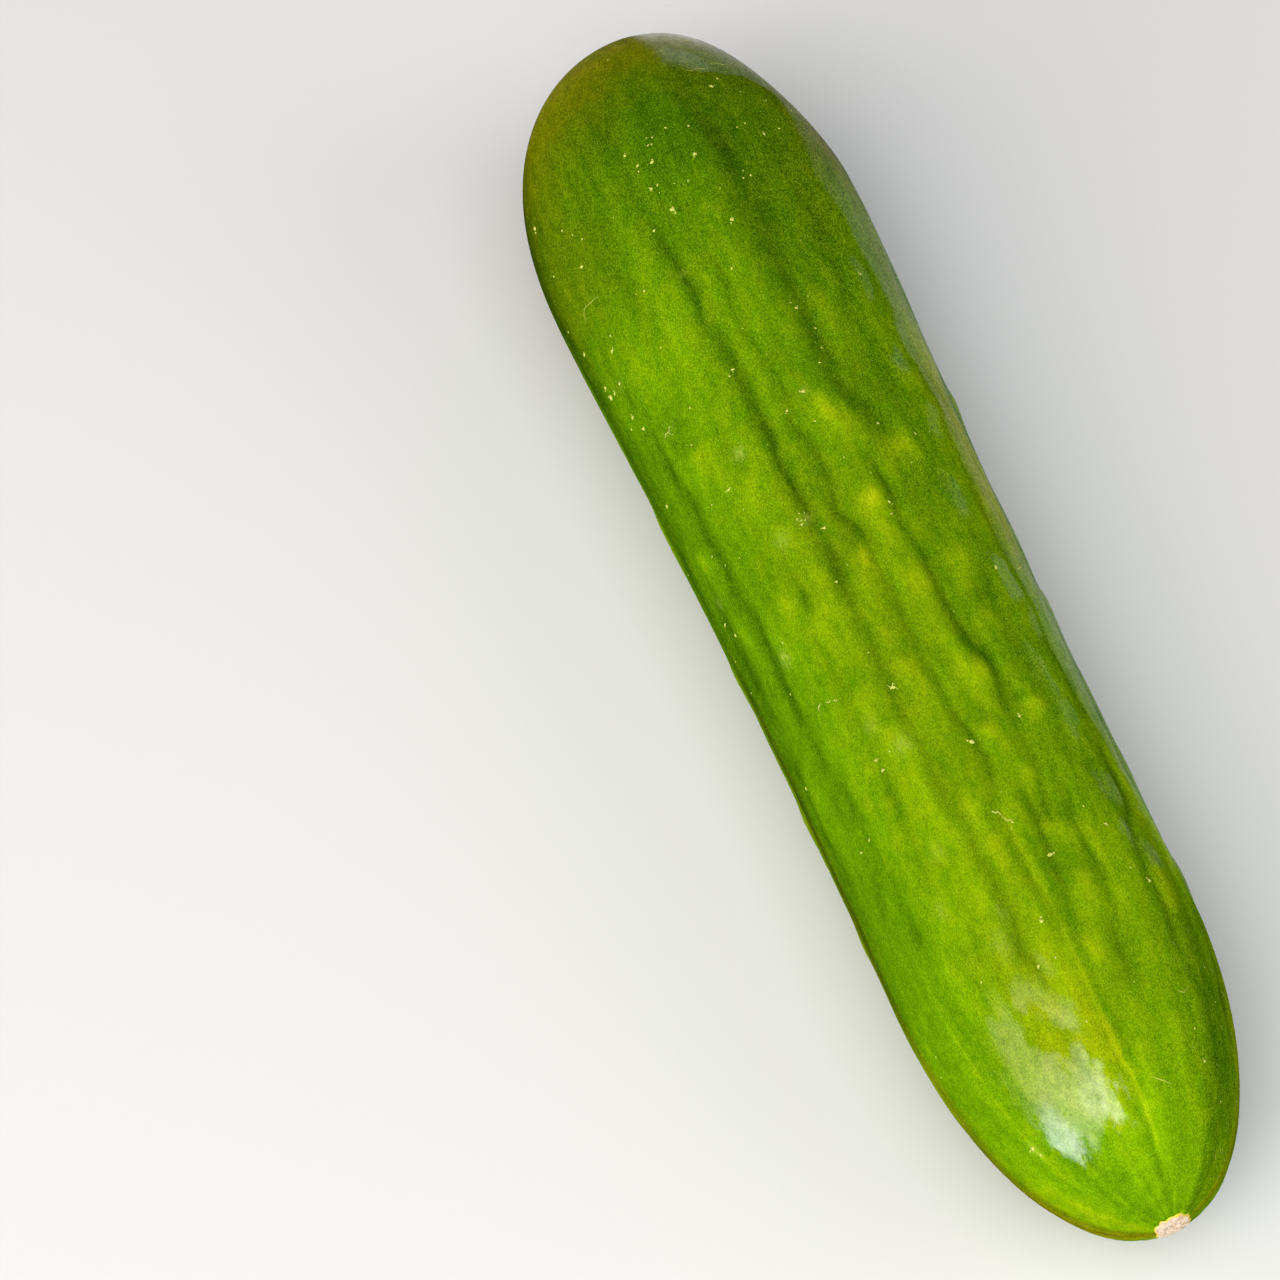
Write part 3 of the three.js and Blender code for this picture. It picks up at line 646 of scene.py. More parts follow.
def skin_colour(along, around, radius):
    """Tone and warmth of the skin, from its bands and from the marks that lie on it, several of which paint
    light and shade.
    """
    relief = body_relief(along, around, radius)
    marks = {
        "relief": relief,
        "raised": np.clip(relief, 0.0, WARM_HEIGHT),
        "lump": np.maximum(lump_relief(along, around, radius), 0.0),
        "lump_head": lump_heads(along, around, radius),
        "furrow_core": furrow_shade_lines(along, around, radius),
        "shaded_pocket": spotted(SHADED_POCKETS, along, around, radius),
        "crease": crease_lines(along, around, radius),
        "blossom_stripe": blossom_stripes(along, around),
        "wax_rim": wax_rim(along, around),
    }
    tone = stepped(BASE_TONE, TONE_STEPS, along) + banded(TONE_BANDS, along, around)
    warmth = stepped(BASE_WARMTH, WARMTH_STEPS, along) + banded(WARM_BANDS, along, around)
    return tone + weighed(marks, TONE_OF), warmth + weighed(marks, WARMTH_OF)


# ---------------------------------------------------------------- meshes

POLE_RADIUS = 0.3  # keeps the skin's pattern from pinching together at the poles


def new_piece(name, points, faces, material):
    mesh = bpy.data.meshes.new(name)
    mesh.from_pydata(((np.asarray(points) - centre) * MM).tolist(), [], faces)
    mesh.shade_smooth()
    mesh.materials.append(material)
    piece = bpy.data.objects.new(name, mesh)
    bpy.context.collection.objects.link(piece)
    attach(piece, "root")
    return piece


def lay_on(piece, name, values):
    """Stores a number or a vector for every vertex, for the material to read."""
    kind = "FLOAT_VECTOR" if values.ndim == 2 else "FLOAT"
    field = "vector" if values.ndim == 2 else "value"
    layer = piece.data.attributes.new(name, kind, "POINT")
    layer.data.foreach_set(field, np.ascontiguousarray(values, dtype=np.float32).ravel())


def ring_faces(rings, sides, closed):
    """Faces from a pole through rings of vertices, out to an open edge or on to a second pole."""
    faces = []
    for side in range(sides):
        beside = (side + 1) % sides
        faces.append((0, 1 + side, 1 + beside))
        for ring in range(rings - 1):
            near, far = 1 + ring * sides, 1 + (ring + 1) * sides
            faces.append((near + side, far + side, far + beside, near + beside))
        if closed:
            last = 1 + (rings - 1) * sides
            faces.append((last + side, 1 + rings * sides, last + beside))
    return faces


def disc_grid(rings, sides):
    """Share of the way out and turn in degrees, for a pole and the rings around it."""
    shares = np.arange(1, rings + 1) / rings
    turns = np.arange(sides) * 360.0 / sides
    share, turn = np.meshgrid(shares, turns, indexing="ij")
    return np.concatenate([[0.0], share.ravel()]), np.concatenate([[0.0], turn.ravel()])


def new_marks(name, parts, material):
    """Makes one piece of many small marks."""
    points, faces = [], []
    for part_points, part_faces in parts:
        start = len(points)
        points.extend(part_points)
        faces += [tuple(index + start for index in face) for face in part_faces]
    points = np.array(points)
    lay_on(new_piece(name, points, faces, material), "place", points)


def make_skin(material):
    turns = np.arange(SKIN_SIDES) * 360.0 / SKIN_SIDES
    swing, around = np.meshgrid(skin_swings(), turns, indexing="ij")
    swing = np.concatenate([[0.0], swing.ravel(), [math.pi]])
    around = np.concatenate([[0.0], around.ravel(), [0.0]])
    faces = ring_faces(SKIN_RINGS, SKIN_SIDES, closed=True)
    skin = new_piece("cucumber_skin", skin_points(swing, around), faces, material)
    along = along_at(swing)
    radius = body_radius(along, around)
    angle = np.radians(around)
    spread = np.maximum(radius, POLE_RADIUS)
    tone, warmth = skin_colour(along, around, radius)
    wax, cover = skin_wax(along, around, radius)
    lay_on(skin, "place", np.stack([along, spread * np.sin(angle), spread * np.cos(angle)], axis=-1))
    lay_on(skin, "tone", tone)
    lay_on(skin, "warmth", warmth)
    lay_on(skin, "pale", spotted(PALE_SPOTS, along, around, radius))
    lay_on(skin, "wax", wax)
    lay_on(skin, "wax_cover", cover)
    lay_on(skin, "grain", skin_grain(along, around))
    return skin


# ---------------------------------------------------------------- corky scars at both ends

SCAR_RINGS = 22
SCAR_SIDES = 84
SCAR_SAMPLES = 900
SCAR_REACH = 1.2  # how far the yellowed fringe reaches, as a share of the scar's radius
CORK_GRAINS = {"seed": 41, "columns": 31, "rows": 29, "middle": 40.0, "finer": 2.3, "fine_share": 0.4}
CORK_RIM = {"seed": 43, "columns": 27, "rows": 7}
CORK_TORN = {"share": 0.12, "row": 2.0}  # how ragged the edge of the disc is, and that of its fringe
FRINGE_TORN = {"share": 0.07, "row": 5.0}
CORK_BODY = {"rough": 0.9, "thin_from": 0.82, "sunk_from": 0.9, "sunk": 0.16}
CORK_FRINGE = (0.8, 0.92)  # share of the way out where the fringe begins, and where it is full
CORK_HOLLOW = 0.55  # depth of the grain at which the painted shade in a hollow is darkest
cork_grain_noise = make_noise(CORK_GRAINS)
cork_rim_noise = make_noise(CORK_RIM)


def make_scar(name, scar, at_blossom, grain_size, rise, material):
    """A granular disc of cork over an end of the fruit, with a torn edge that sinks into the skin."""
    fine = np.linspace(0.0, 1.0, SCAR_SAMPLES)
    reach = np.interp(scar["radius"] * SCAR_REACH, body_radius(along_at(fine), 0.0), fine)
    share, around = disc_grid(SCAR_RINGS, SCAR_SIDES)
    turn = around / 360.0 * CORK_RIM["columns"]
    torn = 1.0 + CORK_TORN["share"] * cork_rim_noise(turn, CORK_TORN["row"])
    swing = reach * share * torn
    across = share * scar["radius"] / grain_size
    u = across * np.cos(np.radians(around)) + CORK_GRAINS["middle"]
    v = across * np.sin(np.radians(around)) + CORK_GRAINS["middle"]
    finer = CORK_GRAINS["finer"]
    grain = lerp(cork_grain_noise(u, v), cork_grain_noise(finer * u, finer * v), CORK_GRAINS["fine_share"])
    body = 1.0 - smoothstep(share, CORK_BODY["thin_from"], 1.0)
    sunk = CORK_BODY["sunk"] * smoothstep(share, CORK_BODY["sunk_from"], 1.0)
    lift = rise * body * (1.0 + CORK_BODY["rough"] * grain) - sunk
    points = skin_points(math.pi - swing if at_blossom else swing, around, lift)
    faces = ring_faces(SCAR_RINGS, SCAR_SIDES, closed=False)
    if at_blossom:
        faces = [face[::-1] for face in faces]
    piece = new_piece(name, points, faces, material)
    lay_on(piece, "place", points)
    ragged = share + FRINGE_TORN["share"] * cork_rim_noise(2.0 * turn, FRINGE_TORN["row"])
    lay_on(piece, "fringe", smoothstep(ragged, *CORK_FRINGE))
    # the hollows of the grain, where the cork's colour gets painted shade
    lay_on(piece, "hollow", smoothstep(-grain, 0.0, CORK_HOLLOW))


# ---------------------------------------------------------------- flecks, scratches and hairs

END_MARGIN = 0.5  # flecks keep this far from both poles
FLECK_RINGS = 3
FLECK_SIDES = 8
FLECK_SHAPE = {"stretch": 0.7, "height": 0.26, "sunk": 0.05}
FLECK_RAGS = [(0.25, 3.0, 6.0), (0.15, 5.0, 9.0)]  # depth, teeth round the edge, how far a draw turns them
FLECKS = [  # along, around, size across
    (22.8, -77, 0.7), (30.5, -77, 0.35), (41, -84.5, 0.5), (36.3, -88, 0.35), (47.3, -81, 0.6),
    (49, -80.5, 0.8), (49.5, -76.5, 0.45), (49.5, -71, 0.5), (54.2, -73.3, 0.5), (54.8, -78, 0.35),
    (56.7, -70.7, 0.5), (45.8, -65.8, 0.5), (44.2, -63, 0.35), (34.1, -60, 0.5), (28, -61, 0.35),
    (29.9, -57, 0.3), (66.2, -81, 0.5), (64.5, -52, 0.3), (73, -46, 0.4), (51.3, -45, 0.35),
    (43.5, -41, 0.4), (32.5, -39, 0.25), (37.4, -28, 0.4), (26, -25.8, 0.45), (28.3, -23.2, 0.45),
    (29.1, -23.8, 0.3), (32.2, -22.5, 0.45), (32.2, -20, 0.35), (33.3, -20.5, 0.22), (36.2, -19, 0.75),
    (28.9, -18.3, 0.5), (26.4, -17, 0.3), (25.3, -16.5, 0.25), (25.6, -14.6, 0.28), (26.5, -15.8, 0.28),
    (25.1, -9, 0.35), (30.3, -4, 0.6), (26, -1.5, 0.4), (40.8, -2, 0.6), (60.3, -26.7, 0.3),
    (59.7, -24.6, 0.42), (47.2, -9.5, 0.3), (55.3, -15, 0.26), (68.2, -13.6, 0.45), (66.7, -5.5, 0.55),
    (55.2, 5.7, 0.45), (54.3, 4.5, 0.28), (58.6, 9, 0.32), (61.5, 8, 0.28), (63.5, 4.8, 0.32),
    (54, 11.5, 0.25), (35.5, 8.2, 0.32), (34.5, 9.2, 0.26), (35.4, 11, 0.35), (20.4, 14, 0.55),
    (19, 18.5, 0.4), (27.9, 14.5, 0.32), (27.4, 18.2, 0.36), (29.3, 23.5, 0.5), (28.2, 31.5, 0.35),
    (23, 34, 0.28), (51, 37.5, 0.45), (73.6, 15.5, 0.42), (80, 21, 0.26), (75.7, 28.5, 0.4),
    (80.3, 4.3, 0.26), (84.8, 6, 0.5), (86.5, 4.8, 0.4), (84.8, -19.8, 0.5), (92, -24.3, 0.35),
    (95.8, 37, 0.55), (108, -22.5, 0.7), (117.5, 16, 0.5), (119, -5, 0.7), (115, -40.2, 0.5),
    (116.6, -39.6, 0.5), (99.7, -63, 0.36), (79.8, -64, 0.3), (77.4, -68, 0.26), (94.2, -54, 0.3),
    (122.5, -58, 0.36), (122.9, -64, 0.36), (76.5, -44, 0.26), (87, -78, 0.5), (84.3, -82.5, 0.42),
    (109.6, -80.5, 0.5), (102.5, -25, 0.26), (90.8, -18, 0.26), (81, -55, 0.26), (134, 29.5, 0.42),
    (140.3, 31, 0.32), (142, 38, 0.6), (136.5, 2.8, 0.6), (144.2, -10.5, 0.6), (149, -18.5, 0.42),
    (149, -11.5, 0.35), (157.3, -11, 0.3), (82, -27.3, 0.32), (82.4, -26, 0.28), (82.9, -26.6, 0.32),
    (82.6, -24.8, 0.24), (81.4, -25.8, 0.22), (81.6, -23.9, 0.2), (164.7, 38, 0.42), (147, -40.5, 0.3),
    (165.5, -65, 0.6), (166.6, -64, 0.4), (161, 35.5, 0.32), (149, -80, 0.26), (128.7, -9.2, 0.32),
    (130.2, -6.3, 0.26), (131.0, -4.7, 0.3), (104.3, -51.8, 0.24), (105.1, -44.6, 0.26),
    (60.4, -60.6, 0.28), (60.1, -57.8, 0.24), (104.6, -47.9, 0.22),
]
FLECK_DRAWS = {"seed": 17, "each": 12}  # random numbers drawn for each fleck
SPLIT_FLECK = {"above": 0.4, "near": 0.5, "spread": 0.4, "turn": 6.28, "share": 0.5}  # beside large ones
STRAY_FLECKS = {
    "count": 170, "seed": 61, "each": 7, "smallest": 0.14, "largest": 0.34, "along": 6.0, "reach": 166.0,
}

SCRATCH_STOPS = 14
SCRATCH_LIFT = 0.02
SCRATCHES = [  # half width, route of (along, around)
    (0.05, [(105.1, -52.4), (104.4, -52.6), (104.1, -51.3), (104.3, -50.1)]),
    (0.06, [(104.5, -48.6), (104.8, -47.1), (104.7, -45.9)]),
    (0.045, [(105.0, -45.2), (105.4, -44.2), (105.2, -43.0)]),
    (0.09, [(128.5, -9.6), (129.0, -8.5), (128.9, -7.6), (129.8, -6.8)]),
    (0.08, [(129.5, -7.2), (130.5, -6.2), (130.6, -5.0), (131.2, -4.2)]),
    (0.05, [(60.9, -62), (60.4, -60.4), (60.6, -58.7), (59.9, -57.2)]),
    (0.045, [(60.5, -59.2), (61.2, -58.3), (61.3, -57.2)]),
    (0.035, [(39.8, -71.5), (38.6, -70.8), (38.1, -68.5), (38.5, -65), (38.7, -61.5), (39.2, -59)]),
    (0.08, [(107.3, -24.3), (108.1, -22.9), (108.0, -21.9), (108.8, -20.8)]),
    (0.05, [(165.4, 6), (166.0, 10), (166.8, 16)]),
    (0.05, [(156.4, 31), (156.8, 34), (156.0, 38)]),
    (0.09, [(95.2, 50.5), (94.6, 54), (93.6, 58)]),
    (0.07, [(72.9, -48), (73.1, -46), (72.8, -44.5)]),
    (0.025, [(15.4, 19), (15.8, 21), (15.5, 24), (15.9, 27), (15.3, 31)]),
    (0.025, [(16.6, 8), (17.0, 11), (16.7, 14), (17.0, 17), (16.5, 20)]),
    (0.02, [(9.4, 17), (9.1, 20), (9.4, 23), (9.2, 26)]),
]

HAIRS = [  # along, around, length
    (152.7, 57, 1.5), (154.6, 66, 1.7), (173, 56, 1.6), (142, 59, 1.1), (163, 31, 0.8), (160, 55, 0.9),
]
HAIR_STOPS = 7
HAIR_LEAN = {"seed": 101, "least": 0.35, "spread": 0.5, "curl": 1.2}
HAIR_LIFT = {"foot": 0.01, "rise": 0.07}
HAIR_HALF_WIDTH = 0.024
STRAY_HAIRS = {
    "count": 90, "seed": 83, "each": 4, "along": 146.0, "reach": 28.0, "around": 30.0, "turn": 200.0,
    "shortest": 0.35, "longer": 0.55,
}
STRAND_SIDES = 5
STRAND_TIP = 0.12  # how blunt both tips of a strand are


def make_fleck(along, around, size, draws):
    """A small torn blister of cork, a little longer one way than the other."""
    heading = draws[0] * math.pi
    stretch = 1.0 + FLECK_SHAPE["stretch"] * draws[1]
    share, turn = disc_grid(FLECK_RINGS, FLECK_SIDES)
    angle = np.radians(turn)
    torn = 1.0
    for (depth, teeth, turned), draw in zip(FLECK_RAGS, draws[2:]):
        torn = torn + depth * np.sin(teeth * angle + turned * draw)
    reach = 0.5 * size * share * torn
    lengthwise = reach * np.cos(angle) * stretch
    crosswise = reach * np.sin(angle)
    fleck_along = along + lengthwise * math.cos(heading) - crosswise * math.sin(heading)
    shift = lengthwise * math.sin(heading) + crosswise * math.cos(heading)
    fleck_around = around + np.degrees(shift / body_radius(np.array(along), around))
    lift = size * FLECK_SHAPE["height"] * (1.0 - share**2) - FLECK_SHAPE["sunk"] * share
    swing = swing_at(np.clip(fleck_along, END_MARGIN, LENGTH - END_MARGIN))
    return skin_points(swing, fleck_around, lift), ring_faces(FLECK_RINGS, FLECK_SIDES, closed=False)


def make_flecks(material):
    parts = []
    draws = random_rows(FLECK_DRAWS["seed"], len(FLECKS), FLECK_DRAWS["each"])
    for (along, around, size), draw in zip(FLECKS, draws):
        parts.append(make_fleck(along, around, size, draw[:4]))
        if size > SPLIT_FLECK["above"]:
            away = size * (SPLIT_FLECK["near"] + SPLIT_FLECK["spread"] * draw[4])
            heading = SPLIT_FLECK["turn"] * draw[5]
            radius = float(body_radius(np.array(along), around))
            next_along = along + away * math.cos(heading)
            next_around = around + math.degrees(away * math.sin(heading) / radius)
            parts.append(make_fleck(next_along, next_around, size * SPLIT_FLECK["share"], draw[6:10]))
    for draw in random_rows(STRAY_FLECKS["seed"], STRAY_FLECKS["count"], STRAY_FLECKS["each"]):
        size = lerp(STRAY_FLECKS["smallest"], STRAY_FLECKS["largest"], draw[2] ** 2)
        along = STRAY_FLECKS["along"] + STRAY_FLECKS["reach"] * draw[0]
        parts.append(make_fleck(along, 360.0 * draw[1], size, draw[3:]))
    new_marks("skin_flecks", parts, material)


def make_strand(along, around, lift, half_width):
    """A thin strand that tapers at both ends, through places on the skin."""
    spine = skin_points(swing_at(along), around, lift)
    ahead = np.gradient(spine, axis=0)
    ahead /= np.linalg.norm(ahead, axis=1, keepdims=True)
    outward = skin_points(swing_at(along), around, lift + 1.0) - spine
    beside = np.cross(ahead, outward)
    beside /= np.linalg.norm(beside, axis=1, keepdims=True)
    upward = np.cross(beside, ahead)
    taper = np.sin(np.linspace(STRAND_TIP, math.pi - STRAND_TIP, len(along))) * half_width
    angles = np.arange(STRAND_SIDES) * 2.0 * math.pi / STRAND_SIDES
    ring = np.cos(angles)[None, :, None] * beside[1:-1, None]
    ring = ring + np.sin(angles)[None, :, None] * upward[1:-1, None]
    rings = spine[1:-1, None] + ring * taper[1:-1, None, None]
    points = np.concatenate([spine[:1], rings.reshape(-1, 3), spine[-1:]])
    return points, ring_faces(len(along) - 2, STRAND_SIDES, closed=True)


def make_scratches(material):
    parts = []
    for half_width, route in SCRATCHES:
        stops = np.array(route, dtype=float)
        share = np.linspace(0.0, len(route) - 1.0, SCRATCH_STOPS)
        along = np.interp(share, np.arange(len(route)), stops[:, 0])
        around = np.interp(share, np.arange(len(route)), stops[:, 1])
        parts.append(make_strand(along, around, np.full(SCRATCH_STOPS, SCRATCH_LIFT), half_width))
    new_marks("skin_scratches", parts, material)


def stray_hair(draw):
    along = STRAY_HAIRS["along"] + STRAY_HAIRS["reach"] * draw[0]
    around = STRAY_HAIRS["around"] + STRAY_HAIRS["turn"] * draw[1]
    return along, around, STRAY_HAIRS["shortest"] + STRAY_HAIRS["longer"] * draw[2]


def make_hairs(material):
    draws = random_rows(STRAY_HAIRS["seed"], STRAY_HAIRS["count"], STRAY_HAIRS["each"])
    strays = [stray_hair(draw) for draw in draws]
    parts = []
    for index, (along, around, length) in enumerate(HAIRS + strays):
        lean = HAIR_LEAN["least"] + HAIR_LEAN["spread"] * random_stream(HAIR_LEAN["seed"] + index, 1)[0]
        share = np.linspace(0.0, 1.0, HAIR_STOPS)
        radius = float(body_radius(np.array(along), around))
        hair_along = along + length * share * (1.0 - lean)
        hair_around = around + np.degrees(length * lean * share ** HAIR_LEAN["curl"] / radius)
        lift = HAIR_LIFT["foot"] + HAIR_LIFT["rise"] * share
        parts.append(make_strand(hair_along, hair_around, lift, HAIR_HALF_WIDTH))
    new_marks("fine_hairs", parts, material)


# ---------------------------------------------------------------- materials

NOISE_MIDDLE = 0.5
GRAIN_MIDDLE = 0.6
SKIN_NOISES = {  # stretch of the pattern, detail, roughness, strength in the tone
    "streak": ((0.12, 0.6, 0.6), 3.0, 0.5, 0.18),
    "mottle": ((0.3, 0.6, 0.6), 3.0, 0.6, 0.2),
    "flake": ((0.85, 1.25, 1.25), 2.0, 0.5, 0.19),
}
CELL_GRAIN = {"dome": 0.75, "dome_share": 0.35, "fine_share": 0.95}
SKIN_CELLS = {"stretch": (0.75, 1.0, 1.0), "per_mm": 5.6}
WAX_TATTERS = {"stretch": (0.5, 1.2, 1.2), "scale": 2.0, "detail": 4.0, "roughness": 0.65}
MOTTLED_WARMTH = 0.7
SKIN_ROUGHNESS = {"base": 0.42, "mottled": 0.15}
BROKEN_SHINE = {"mottle": 1.1, "flake": 0.9}
CORK_CELLS_PER_MM = 4.5
CORK_ROUGHNESS = {"base": 0.65, "grain": 0.2}
CORK_SHADE = {"less": 0.15, "hollow": 0.75}

LEAF_GREENS = [  # tone, colour
    (0.0, (0.010, 0.034, 0.0006)),
    (0.25, (0.034, 0.095, 0.0008)),
    (0.5, (0.088, 0.208, 0.001)),
    (0.75, (0.178, 0.360, 0.0012)),
    (1.0, (0.330, 0.560, 0.004)),
]
OLIVE_GREENS = [
    (0.0, (0.030, 0.036, 0.0008)),
    (0.25, (0.092, 0.098, 0.0012)),
    (0.5, (0.205, 0.205, 0.002)),
    (0.75, (0.350, 0.355, 0.003)),
    (1.0, (0.560, 0.580, 0.008)),
]
PALE_CORK_ON_SKIN = (0.34, 0.42, 0.05)
FLOOR_GREY = (0.63, 0.64, 0.66)
DRY_TISSUES = {  # light and dark grains, the dark one also the painted shade in a scar's hollows, and the fringe of a scar
    "blossom_cork": ((0.98, 0.89, 0.76), (0.48, 0.31, 0.17), (0.62, 0.50, 0.03)),
    "stalk_cork": ((0.52, 0.50, 0.26), (0.20, 0.17, 0.07), (0.30, 0.30, 0.04)),
    "fleck_cork": ((0.62, 0.66, 0.16), (0.36, 0.38, 0.05), None),
    "fine_hair": ((0.42, 0.46, 0.12), (0.30, 0.34, 0.06), None),
}


def add_node(tree, kind, settings=None, **inputs):
    made = tree.nodes.new(kind)
    for name, value in (settings or {}).items():
        setattr(made, name, value)
    for name, value in inputs.items():
        made.inputs[name.replace("_", " ")].default_value = value
    return made


def wire(tree, source, target):
    tree.links.new(source, target)


def feed(tree, socket, value):
    """Wires a socket into another, or sets it to a number or a colour."""
    if isinstance(value, bpy.types.NodeSocket):
        wire(tree, value, socket)
    elif isinstance(value, tuple):
        socket.default_value = (*value, 1.0)
    else:
        socket.default_value = value


def math_node(tree, operation, first, second):
    made = add_node(tree, "ShaderNodeMath", {"operation": operation})
    feed(tree, made.inputs[0], first)
    feed(tree, made.inputs[1], second)
    return made.outputs[0]


def plus(tree, first, second):
    return math_node(tree, "ADD", first, second)


def minus(tree, first, second):
    return math_node(tree, "SUBTRACT", first, second)


def times(tree, first, second):
    return math_node(tree, "MULTIPLY", first, second)


def read_layer(tree, name, output="Fac"):
    return add_node(tree, "ShaderNodeAttribute", {"attribute_name": name}).outputs[output]


def stretched(tree, vector, scale):
    mapping = add_node(tree, "ShaderNodeMapping", Scale=scale)
    wire(tree, vector, mapping.inputs["Vector"])
    return mapping.outputs["Vector"]


def noise_at(tree, vector, scale, detail, roughness):
    noise = add_node(tree, "ShaderNodeTexNoise", Scale=scale, Detail=detail, Roughness=roughness)
    wire(tree, vector, noise.inputs["Vector"])
    return noise.outputs["Fac"]


def ramp(tree, value, stops):
    made = add_node(tree, "ShaderNodeValToRGB")
    elements = made.color_ramp.elements
    while len(elements) < len(stops):
        elements.new(0.5)
    for element, (position, colour) in zip(elements, stops):
        element.position = position
        element.color = (*colour, 1.0)
    wire(tree, value, made.inputs["Fac"])
    return made.outputs["Color"]


def mix_colours(tree, share, first, second):
    mix = add_node(tree, "ShaderNodeMix", {"data_type": "RGBA", "clamp_factor": True})
    wire(tree, share, mix.inputs["Factor"])
    feed(tree, mix.inputs["A"], first)
    feed(tree, mix.inputs["B"], second)
    return mix.outputs["Result"]


def rising(tree, value, start, end, low=0.0, high=1.0):
    """Rises from low to high as a value goes from start to end, and stays level outside them."""
    made = add_node(tree, "ShaderNodeMapRange", From_Min=start, From_Max=end, To_Min=low, To_Max=high)
    wire(tree, value, made.inputs["Value"])
    return made.outputs["Result"]


def raise_surface(tree, shader, height, distance, strength):
    bump = add_node(tree, "ShaderNodeBump", Strength=strength, Distance=distance)
    wire(tree, height, bump.inputs["Height"])
    wire(tree, bump.outputs["Normal"], shader.inputs["Normal"])


def new_material(name):
    material = bpy.data.materials.new(name)
    material.use_nodes = True
    tree = material.node_tree
    return material, tree, tree.nodes["Principled BSDF"]


def make_cell_grain():
    """Fine grain of plant tissue: small cells with darker gaps, for colour and for height."""
    group = bpy.data.node_groups.new("cell_grain", "ShaderNodeTree")
    for name, way, kind in (
        ("Place", "INPUT", "NodeSocketVector"),
        ("Cells per mm", "INPUT", "NodeSocketFloat"),
        ("Shade", "OUTPUT", "NodeSocketFloat"),
        ("Height", "OUTPUT", "NodeSocketFloat"),
    ):
        group.interface.new_socket(name=name, in_out=way, socket_type=kind)
    entry = add_node(group, "NodeGroupInput")
    leave = add_node(group, "NodeGroupOutput")
    fine = add_node(group, "ShaderNodeTexNoise", Detail=2.5, Roughness=0.65)
    cells = add_node(group, "ShaderNodeTexVoronoi", {"feature": "SMOOTH_F1"}, Smoothness=0.6)
    for pattern in (fine, cells):
        wire(group, entry.outputs["Place"], pattern.inputs["Vector"])
        wire(group, entry.outputs["Cells per mm"], pattern.inputs["Scale"])
    domes = minus(group, CELL_GRAIN["dome"], cells.outputs["Distance"])
    cell_shade = times(group, domes, CELL_GRAIN["dome_share"])
    fine_shade = times(group, fine.outputs["Fac"], CELL_GRAIN["fine_share"])
    wire(group, plus(group, cell_shade, fine_shade), leave.inputs["Shade"])
    wire(group, plus(group, domes, fine.outputs["Fac"]), leave.inputs["Height"])
    return group


cell_grain = make_cell_grain()


def grain_node(tree, vector, cells_per_mm):
    node = add_node(tree, "ShaderNodeGroup", {"node_tree": cell_grain}, Cells_per_mm=cells_per_mm)
    wire(tree, vector, node.inputs["Place"])
    return node


def waxy_skin():
    """Greens by tone and warmth, with pale corky patches, under wax that is torn and thins out."""
    material, tree, shader = new_material("waxy_skin")
    place = read_layer(tree, "place", "Vector")
    tone = read_layer(tree, "tone")
    noises = {}
    for name, (stretch, detail, roughness, strength) in SKIN_NOISES.items():
        noises[name] = noise_at(tree, stretched(tree, place, stretch), 1.0, detail, roughness)
        tone = plus(tree, tone, times(tree, minus(tree, noises[name], NOISE_MIDDLE), strength))
    grain = grain_node(tree, stretched(tree, place, SKIN_CELLS["stretch"]), SKIN_CELLS["per_mm"])
    shade = minus(tree, grain.outputs["Shade"], GRAIN_MIDDLE)
    tone = plus(tree, tone, times(tree, shade, read_layer(tree, "grain")))
    drift = times(tree, minus(tree, noises["mottle"], NOISE_MIDDLE), MOTTLED_WARMTH)
    warmth = plus(tree, read_layer(tree, "warmth"), drift)
    greens = mix_colours(tree, warmth, ramp(tree, tone, LEAF_GREENS), ramp(tree, tone, OLIVE_GREENS))

    tattered = stretched(tree, place, WAX_TATTERS["stretch"])
    tatters = noise_at(tree, tattered, WAX_TATTERS["scale"], WAX_TATTERS["detail"], WAX_TATTERS["roughness"])
    torn = rising(tree, tatters, start=0.22, end=0.78)
    pale = times(tree, read_layer(tree, "pale"), rising(tree, torn, start=0.25, end=0.75, low=0.1, high=1.4))
    wire(tree, mix_colours(tree, pale, greens, PALE_CORK_ON_SKIN), shader.inputs["Base Color"])
    rough = plus(tree, times(tree, noises["mottle"], SKIN_ROUGHNESS["mottled"]), SKIN_ROUGHNESS["base"])
    wire(tree, rough, shader.inputs["Roughness"])
    shader.inputs["Specular IOR Level"].default_value = 0.0

    mottled_shine = times(tree, noises["mottle"], BROKEN_SHINE["mottle"])
    flaky_shine = times(tree, noises["flake"], BROKEN_SHINE["flake"])
    cover = rising(tree, plus(tree, read_layer(tree, "wax_cover"), torn), start=0.75, end=1.2)
    wax = times(tree, times(tree, read_layer(tree, "wax"), cover), plus(tree, mottled_shine, flaky_shine))
    wire(tree, wax, shader.inputs["Coat Weight"])
    shader.inputs["Coat Roughness"].default_value = 0.2
    raise_surface(tree, shader, grain.outputs["Height"], distance=0.00005, strength=0.35)
    return material


